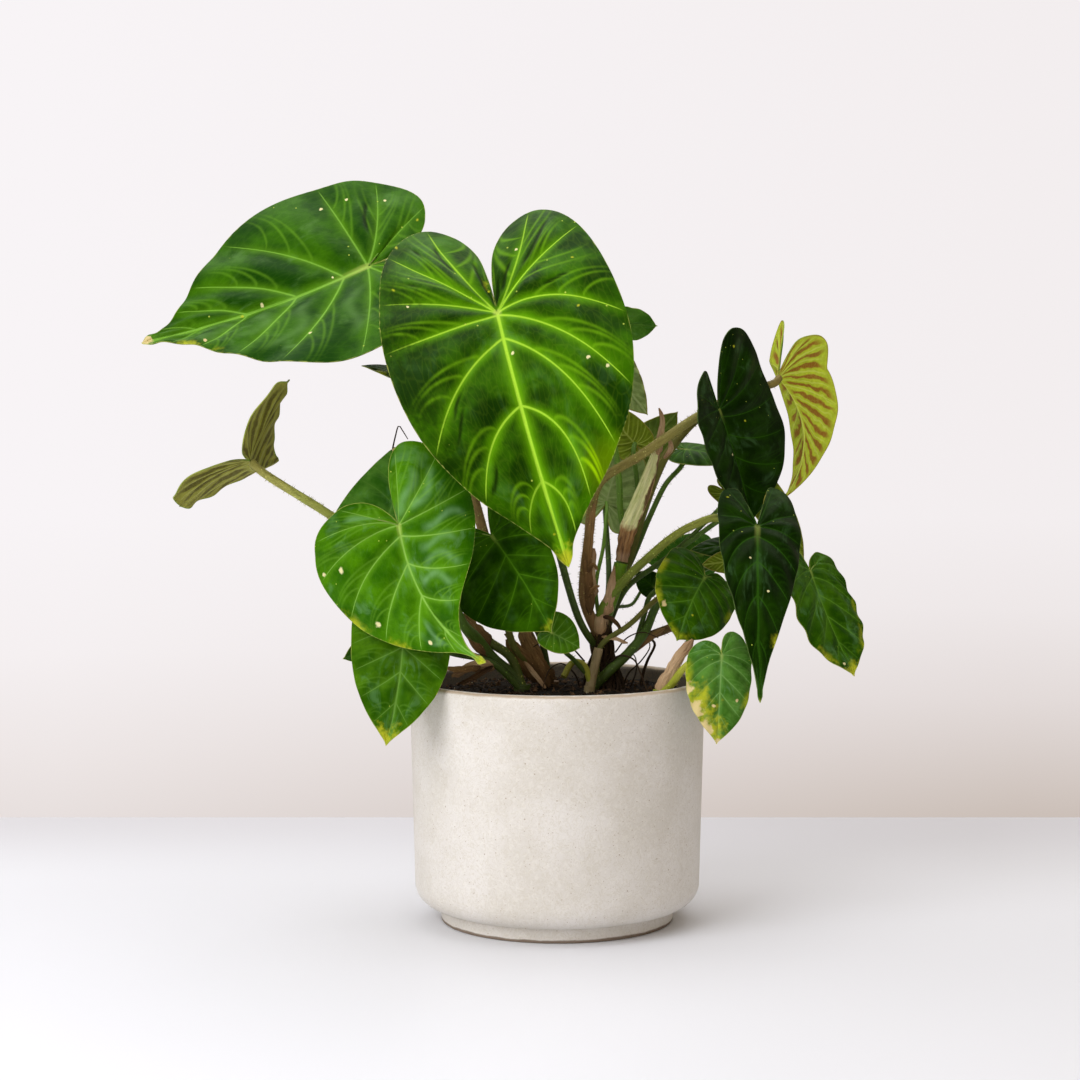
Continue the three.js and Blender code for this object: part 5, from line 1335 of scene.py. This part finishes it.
def ribbon(points, widths, curl, face, rng):
    """A torn, ridged sheet along a curve that bows towards face: what tube returns, without frames."""
    length = along_curve(points, [0], True)[1]
    rows = max(8, round(length / RIBBON_STEP))
    shares = np.linspace(0, 1, rows + 1)
    line = along_curve(points, shares, True)[0]
    tangents = np.gradient(line, axis=0)
    tangents /= np.linalg.norm(tangents, axis=1)[:, None]
    aside = np.cross(tangents, np.asarray(face, float))
    aside /= np.linalg.norm(aside, axis=1)[:, None]
    outward = np.cross(aside, tangents)
    across = np.linspace(-1, 1, RIBBON_CELLS + 1)
    phase = waves(rng, 8)
    run = shares * length
    torn = [1 + 0.16 * np.sin(run / 3.1 + phase[k]) + 0.07 * np.sin(run / 1.1 + phase[k + 2])
        + rng.uniform(-0.07, 0.07, rows + 1) for k in (0, 1)]
    ends = np.clip(np.minimum(shares, 1 - shares) * 9, 0.12, 1) ** 0.6
    half = table(widths, shares * (len(widths) - 1)) / 2 * ends
    turn = math.radians(curl) / 2
    reach = across[None] * np.where(across[None] < 0, torn[0][:, None], torn[1][:, None])
    angle = turn * reach
    radius = (half / max(abs(math.sin(min(abs(turn), math.pi / 2))), 0.3))[:, None]
    bow = math.copysign(1, turn) * radius * (np.cos(angle) - 1)
    ridge = 0.16 * np.sin(reach * 9 + phase[4] + 0.25 * run[:, None])
    ridge = ridge + 0.12 * np.sin(run[:, None] / 1.1 + phase[5])
    side = radius * np.sin(np.abs(angle)) * np.sign(reach)
    surface = line[:, None] + side[..., None] * aside[:, None] + (bow + ridge)[..., None] * outward[:, None]
    cols = RIBBON_CELLS + 1
    row, col = np.meshgrid(np.arange(rows), np.arange(RIBBON_CELLS), indexing="ij")
    a = row * cols + col
    triangles = np.concatenate([np.stack([a, a + cols, a + 1], -1).reshape(-1, 3),
        np.stack([a + 1, a + cols, a + cols + 1], -1).reshape(-1, 3)])
    body, faces, _ = thicken(surface.reshape(-1, 3), triangles, RIBBON_THICKNESS)
    along = np.tile(np.repeat(shares, cols), 2)
    turned_by = np.tile(np.tile((across + 1) / 2, rows + 1), 2)
    return body, faces, along, turned_by, length, None


def as_part(made):
    """What tube and ribbon return, as a part: points, triangles, share along, share round and length run."""
    body, faces, along, turn, length, _ = made
    return body, faces, along, turn, along * length


def stem_surface(look, rng):
    """How a stem's radius changes along and round it."""
    phase = waves(rng, 5)
    rough = ROUGH_STEMS.get(look, SMOOTH_STEM)

    def shape(share, angle, length):
        ribs = np.sin(5 * angle + phase[0] + 3 * share) + 0.6 * np.sin(9 * angle + phase[1] - 4 * share)
        knots = np.sin(length * share / 3.1 + phase[2] + np.sin(angle + phase[3]))
        return 1 + rough * (0.5 * ribs + 0.5 * knots)

    return shape


def make_stem(name, stem, index, shoot=None):
    """One stem with its bristles, and with the buried foot of a shoot where one is given."""
    rng = np.random.default_rng(SEEDS["stems"] + index)
    look, radii, points = stem["look"], stem["radius"], stem["route"]
    if name.startswith("petiole"):
        points = points + arrival(BLADES[name.replace("petiole", "blade")], points[-1], radii[-1])
    sides = THICK_SIDES if radii[0] > THICK_STEM else STEM_SIDES
    if look in DRY_LOOKS:
        made = ribbon(points, [DRY_WIDTH * radius for radius in radii], DRY_CURL, FRONT, rng)
    else:
        made = tube(points, radii, sides=sides, shape=stem_surface(look, rng))
    parts = [as_part(made)]
    length, frames = made[4:]
    density = STEM_LOOKS[look]["bristles"] * BRISTLES
    if frames and density:
        hairs, faces = bristles(frames, density, rng)
        plain = np.zeros(len(hairs))
        parts.append((hairs, faces, plain + 0.9, plain, plain))
    if shoot:
        buried = [(*shoot["root"], height) for height in (POT_HEIGHT - ROOT_DEPTH, POT_HEIGHT - 2)]
        body, faces, along, turn, _, _ = tube(buried, (shoot["radius"],) * 2, sides=sides)
        parts.append((body, faces, np.zeros(len(body)), turn, along * length))
    return stem_piece(name, parts, stem_skin(name, look))


def join_parts(parts):
    offset = 0
    faces = []
    for part in parts:
        faces.append(part[1] + offset)
        offset += len(part[0])
    columns = [np.concatenate([part[k] for part in parts]) for k in (0, 2, 3, 4)]
    return columns[0], np.concatenate(faces), *columns[1:]


def stem_skin(name, look):
    return stem_material(name + "_skin", STEM_LOOKS[look])


def stem_piece(name, parts, skin):
    """One piece out of joined tubes and ribbons."""
    body, faces, along, turn, run = join_parts(parts)
    piece = new_piece(name, body, faces, [skin], sharp=60)
    set_map(piece, "Stem", np.c_[along, turn][faces.ravel()])
    set_values(piece, "run", run)
    return piece


def make_shoots():
    index = 0
    for name, shoot in SHOOTS.items():
        for order, (stem_name, stem) in enumerate(shoot["stems"].items()):
            piece = make_stem(stem_name, stem, index, None if order else shoot)
            if order == 0:
                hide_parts(name)
            index += 1


def make_scraps():
    for index, (name, scrap) in enumerate(SCRAPS.items()):
        rng = np.random.default_rng(SEEDS["scraps"] + index)
        sheet = ribbon(scrap["route"], scrap["width"], scrap["curl"], scrap.get("face", FRONT), rng)
        stem_piece(name, [as_part(sheet)], stem_skin(name, scrap["look"]))


def thread(points, radius):
    return as_part(tube(points, (radius, radius * 0.6), sides=5, step=1.5))


def tangle_route(rng):
    """An old root that leans in towards the right-hand shoot as it rises."""
    (middle_x, middle_y), (wide, deep) = TANGLE["centre"], TANGLE["spread"]
    turn = rng.uniform(0, 2 * math.pi)
    high = rng.uniform(*TANGLE["top"])
    route = []
    for share, width in ((0, 1), (0.3, 0.8), (0.6, 0.5), (1, 0.28)):
        angle = turn + rng.uniform(-0.7, 0.7)
        route.append((middle_x + wide * width * math.cos(angle), middle_y + deep * width * math.sin(angle),
            TANGLE_FOOT + (high - TANGLE_FOOT) * share))
    return route


def soil_root_route(rng, phase):
    """A thin root that wanders over the soil, with both its ends in it."""
    x, y = rng.uniform(-50, 55), rng.uniform(-58, 10)
    angle = rng.uniform(0, 2 * math.pi)
    route = []
    for step in range(5):
        lift = -1.2 if step in (0, 4) else rng.uniform(0.1, 1.6)
        route.append((x, y, soil_height(x, y, phase) + lift))
        angle += rng.uniform(-0.9, 0.9)
        x += 5 * math.cos(angle)
        y += 5 * math.sin(angle)
    return route


def make_threads(phase):
    """The loose threads, the tangle of old roots round the right shoot, and thin roots over the soil."""
    rng = np.random.default_rng(SEEDS["threads"])
    parts = [thread(route, radius) for radius, route in THREADS]
    for _ in range(TANGLE["count"]):
        route = tangle_route(rng)
        parts.append(thread(route, rng.uniform(*TANGLE["radius"])))
    for _ in range(SOIL_ROOTS):
        route = soil_root_route(rng, phase)
        if all(math.hypot(x, y) < SOIL_RADIUS - 4 for x, y, _ in route):
            parts.append(thread(route, rng.uniform(0.25, 0.55)))
    stem_piece("fine_roots", parts, stem_skin("fine_roots", "root"))


def make_cataphyll():
    """The papery sheath that still wraps a new leaf: cream on one side, torn and brown on the other."""
    def shape(share, angle, length):
        ridge = 0.05 * np.sin(7 * angle + 5 * share) + 0.05 * np.sin(12 * angle - 9 * share)
        ridge = ridge + 0.03 * np.sin(23 * angle + 14 * share)
        warts = 0.07 * np.sin(share * 70 + 2 * angle) * np.clip(1.2 - 2.4 * share, 0, 1)
        return 1 + ridge + warts

    made = tube(SHEATH["route"], SHEATH["radius"], SHEATH["flat"], 48, 0.7, shape)
    piece = stem_piece("cataphyll", [as_part(made)], sheath_material())
    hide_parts("sheath_new_leaf")


def make_root_curl():
    surface = stem_surface("rooty", np.random.default_rng(SEEDS["root_curl"]))
    made = tube(ROOT_CURL["route"], ROOT_CURL["radius"], shape=surface)
    piece = stem_piece("curled_root", [as_part(made)], stem_skin("curled_root", "root"))
    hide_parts("root_curl")


# Pot and soil

def pot_profile():
    """Half the pot's outline: underside, foot, rounded corner, wall, lip, inner wall and floor."""
    under = FOOT_RADIUS - FOOT_BEVEL
    profile = [(0, 0), (FOOT_RADIUS - 8, 0), (under, 0)]
    for i in range(FOOT_STEPS + 1):
        angle = math.pi / 2 * i / FOOT_STEPS
        profile.append((under + FOOT_BEVEL * math.sin(angle), FOOT_BEVEL * (1 - math.cos(angle))))
    profile.append((FOOT_RADIUS, FOOT_HEIGHT - FOOT_BEVEL))
    tall = LOW_HEIGHT - FOOT_HEIGHT
    wide = LOW_RADIUS - FOOT_RADIUS - FOOT_BEVEL
    for i in range(CORNER_STEPS + 1):
        angle = math.pi / 2 * i / CORNER_STEPS
        reach = FOOT_RADIUS + FOOT_BEVEL + wide * math.sin(angle)
        profile.append((reach, FOOT_HEIGHT + tall * (1 - math.cos(angle))))
    lip = WALL / 2
    for i in range(1, WALL_STEPS):
        share = i / WALL_STEPS
        profile.append((LOW_RADIUS + (RIM_RADIUS - LOW_RADIUS) * share,
            LOW_HEIGHT + (POT_HEIGHT - lip - LOW_HEIGHT) * share))
    for i in range(LIP_STEPS + 1):
        angle = math.pi * i / LIP_STEPS
        profile.append((RIM_RADIUS - lip + lip * math.cos(angle), POT_HEIGHT - lip + lip * math.sin(angle)))
    profile += [(LOW_RADIUS - WALL, LOW_HEIGHT), (FOOT_RADIUS, FLOOR), (0, FLOOR)]
    return np.array(profile)


def lathe(profile, sides):
    """A closed body turned round Z from a profile that starts and ends on the axis."""
    angles = 2 * math.pi * np.arange(sides) / sides
    inner = profile[1:-1]
    ring = np.stack([inner[:, :1] * np.cos(angles), inner[:, :1] * np.sin(angles),
        inner[:, 1:] * np.ones(sides)], -1).reshape(-1, 3)
    ends = [(0, 0, profile[0][1]), (0, 0, profile[-1][1])]
    return np.concatenate([ring, ends]), ring_faces(len(inner), sides)


def make_pot():
    points, faces = lathe(pot_profile(), POT_SIDES)
    piece = new_piece("planter", points, faces, [pot_material()], sharp=40)
    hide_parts("pot")


def soil_height(x, y, phase):
    """Height of the soil's mound with its lumps."""
    share = np.hypot(x, y) / SOIL_RADIUS
    lump = 0.5 * np.sin(x / 7 + 1) * np.cos(y / 9)
    height = SOIL_EDGE + (SOIL_MOUND + lump) * (1 - share ** 2)
    for k, (size, tall) in enumerate(SOIL_LUMPS):
        height = height + tall * (np.sin(x / size + phase[k]) * np.cos(y / size * 1.1 + phase[k + 3])
            + 0.6 * np.sin((x + y) / size * 0.8 + phase[k + 1]))
    return height


def make_soil():
    rng = np.random.default_rng(SEEDS["soil"])
    phase = waves(rng, 8)
    rings = SOIL_RINGS
    sides = SOIL_SIDES
    radii = SOIL_RADIUS * (np.arange(rings, 0, -1) / rings)[:, None]
    angles = 2 * math.pi * np.arange(sides) / sides
    x, y = radii * np.cos(angles), radii * np.sin(angles)
    rough = rng.uniform(-0.5, 0.5, x.shape) * np.minimum(1, (SOIL_RADIUS - radii) / 3)
    top = np.stack([x, y, soil_height(x, y, phase) + rough], -1).reshape(-1, 3)
    low = [(FOOT_RADIUS - 1, FLOOR + CLEARANCE), (LOW_RADIUS - WALL - 0.7, LOW_HEIGHT)]
    bottom = np.concatenate([np.c_[reach * np.cos(angles), reach * np.sin(angles), np.full(sides, height)]
        for reach, height in low])
    ends = [(0, 0, FLOOR + CLEARANCE), (0, 0, soil_height(0.0, 0.0, phase))]
    points = np.concatenate([bottom, top, ends])
    mix = soil_material("potting_mix", *SOIL_TONES)
    piece = new_piece("potting_mix", points, ring_faces(len(low) + rings, sides), [mix])
    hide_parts("soil")
    for name, kind in CRUMB_KINDS.items():
        make_crumbs(name, kind, rng, phase)
    make_beads(phase)
    make_threads(phase)


def make_crumbs(name, kind, rng, phase):
    """Loose crumbs, bark or grit on the soil, as squashed and turned octahedra in one piece."""
    shape = np.array([(1, 0, 0), (-1, 0, 0), (0, 1, 0), (0, -1, 0), (0, 0, 1), (0, 0, -1)], float)
    sides = np.array([(0, 2, 4), (2, 1, 4), (1, 3, 4), (3, 0, 4), (2, 0, 5), (1, 2, 5), (3, 1, 5),
        (0, 3, 5)])
    count, sizes, dark, pale = kind
    reach = (SOIL_RADIUS - 2.5) * np.sqrt(rng.uniform(0, 1, count))
    angle = rng.uniform(0, 2 * math.pi, count)
    x, y = reach * np.cos(angle), reach * np.sin(angle)
    size = rng.uniform(*sizes, count) * rng.uniform(0.5, 1, count)
    flat = rng.uniform(0.35, 1, (count, 1, 3))
    corners = shape * rng.uniform(0.7, 1.2, (count, 6, 1)) * flat * size[:, None, None]
    spin = rng.uniform(0, 2 * math.pi, count)
    c, s = np.cos(spin)[:, None], np.sin(spin)[:, None]
    turned_x = corners[..., 0] * c - corners[..., 1] * s
    turned_y = corners[..., 0] * s + corners[..., 1] * c
    z = soil_height(x, y, phase)[:, None] + corners[..., 2] + 0.25 * size[:, None]
    points = np.stack([turned_x + x[:, None], turned_y + y[:, None], z], -1).reshape(-1, 3)
    faces = (sides[None] + 6 * np.arange(count)[:, None, None]).reshape(-1, 3)
    new_piece(name, points, faces, [soil_material(name + "_mix", dark, pale)], sharp=20)


def make_beads(phase):
    """A fertiliser bead and some perlite, as small uneven balls half sunk in the soil."""
    for index, ((x, y), radius, rgb) in enumerate(BEADS):
        turn = math.pi * np.arange(1, 8) / 8
        profile = [(0, -radius), *[(radius * math.sin(t), -radius * math.cos(t)) for t in turn], (0, radius)]
        points, faces = lathe(np.array(profile), 14)
        rng = np.random.default_rng(SEEDS["beads"] + index)
        points *= 1 + rng.uniform(-0.09, 0.09, (len(points), 1))
        name = "bead_%d" % index
        place = points + (x, y, soil_height(x, y, phase) + 0.4 * radius)
        new_piece(name, place, faces, [bead_material(name + "_skin", rgb)], sharp=60)


# Stage, light and camera

def make_stage():
    """The table, which ends behind the pot."""
    low, back = -TABLE_HALF, TABLE_EDGE
    points = np.array([(low, low, 0), (TABLE_HALF, low, 0), (TABLE_HALF, back, 0), (low, back, 0)])
    mesh = bpy.data.meshes.new("table")
    mesh.from_pydata(points, [], [(0, 1, 2, 3)])
    mesh.materials.append(table_material())
    table_top = bpy.data.objects.new("table", mesh)
    bpy.context.scene.collection.objects.link(table_top)


def make_world():
    """A pale wall for the camera to see, with painted shade that darkens it towards the table and the right,
    and soft light round it.
    """
    world = bpy.data.worlds.new("studio")
    bpy.context.scene.world = world
    world.use_nodes = True
    nodes = Nodes(world.node_tree)
    way = nodes.node("SeparateXYZ", {0: nodes.node("TexCoord").outputs["Generated"]}).outputs
    # Painted shade: the wall darkens towards the table and the right
    depth = nodes.fade(way["Z"], *WALL_SHADE_SLOPES, "LINEAR")
    aside = nodes.fade(way["X"], -WALL_HALF, WALL_HALF, "LINEAR")
    wall = nodes.mix(aside, nodes.ramp(depth, WALL_LEFT), nodes.ramp(depth, WALL_RIGHT))
    seen = nodes.node("Background", {"Color": wall}).outputs[0]
    light = nodes.node("Background", {"Color": tone(AMBIENT_TINT), "Strength": AMBIENT}).outputs[0]
    by_camera = nodes.node("LightPath").outputs["Is Camera Ray"]
    choice = nodes.node("MixShader", {0: by_camera, 1: light, 2: seen}).outputs[0]
    nodes.node("OutputWorld", {"Surface": choice})


def make_light(name, place, target, size, power, tint):
    lamp = bpy.data.lights.new(name, "AREA")
    lamp.shape = "DISK"
    lamp.size = size
    lamp.energy = power
    lamp.color = tone(tint)[:3]
    item = bpy.data.objects.new(name, lamp)
    item.location = place
    x, y, z = np.array(target, float) - np.array(place, float)
    item.rotation_euler = (math.atan2(math.hypot(x, y), -z), 0, math.atan2(y, x) - math.pi / 2)
    bpy.context.scene.collection.objects.link(item)


def make_camera():
    camera = bpy.data.cameras.new("camera")
    camera.sensor_width = 36
    camera.lens = CAMERA_LENS
    camera.clip_end = 20
    item = bpy.data.objects.new("camera", camera)
    item.location = CAMERA_PLACE
    item.rotation_euler = (math.pi / 2 - CAMERA_DROP, 0, 0)
    bpy.context.scene.collection.objects.link(item)
    bpy.context.scene.camera = item


make_camera()
make_stage()
make_world()
for light_name, light in LIGHTS.items():
    make_light(light_name, *light)
bpy.context.scene.view_settings.view_transform = "Standard"
make_pot()
make_soil()
for number, (blade_name, blade_shape) in enumerate(BLADES.items()):
    make_blade(blade_name, blade_shape, number)
make_shoots()
make_scraps()
make_cataphyll()
make_root_curl()
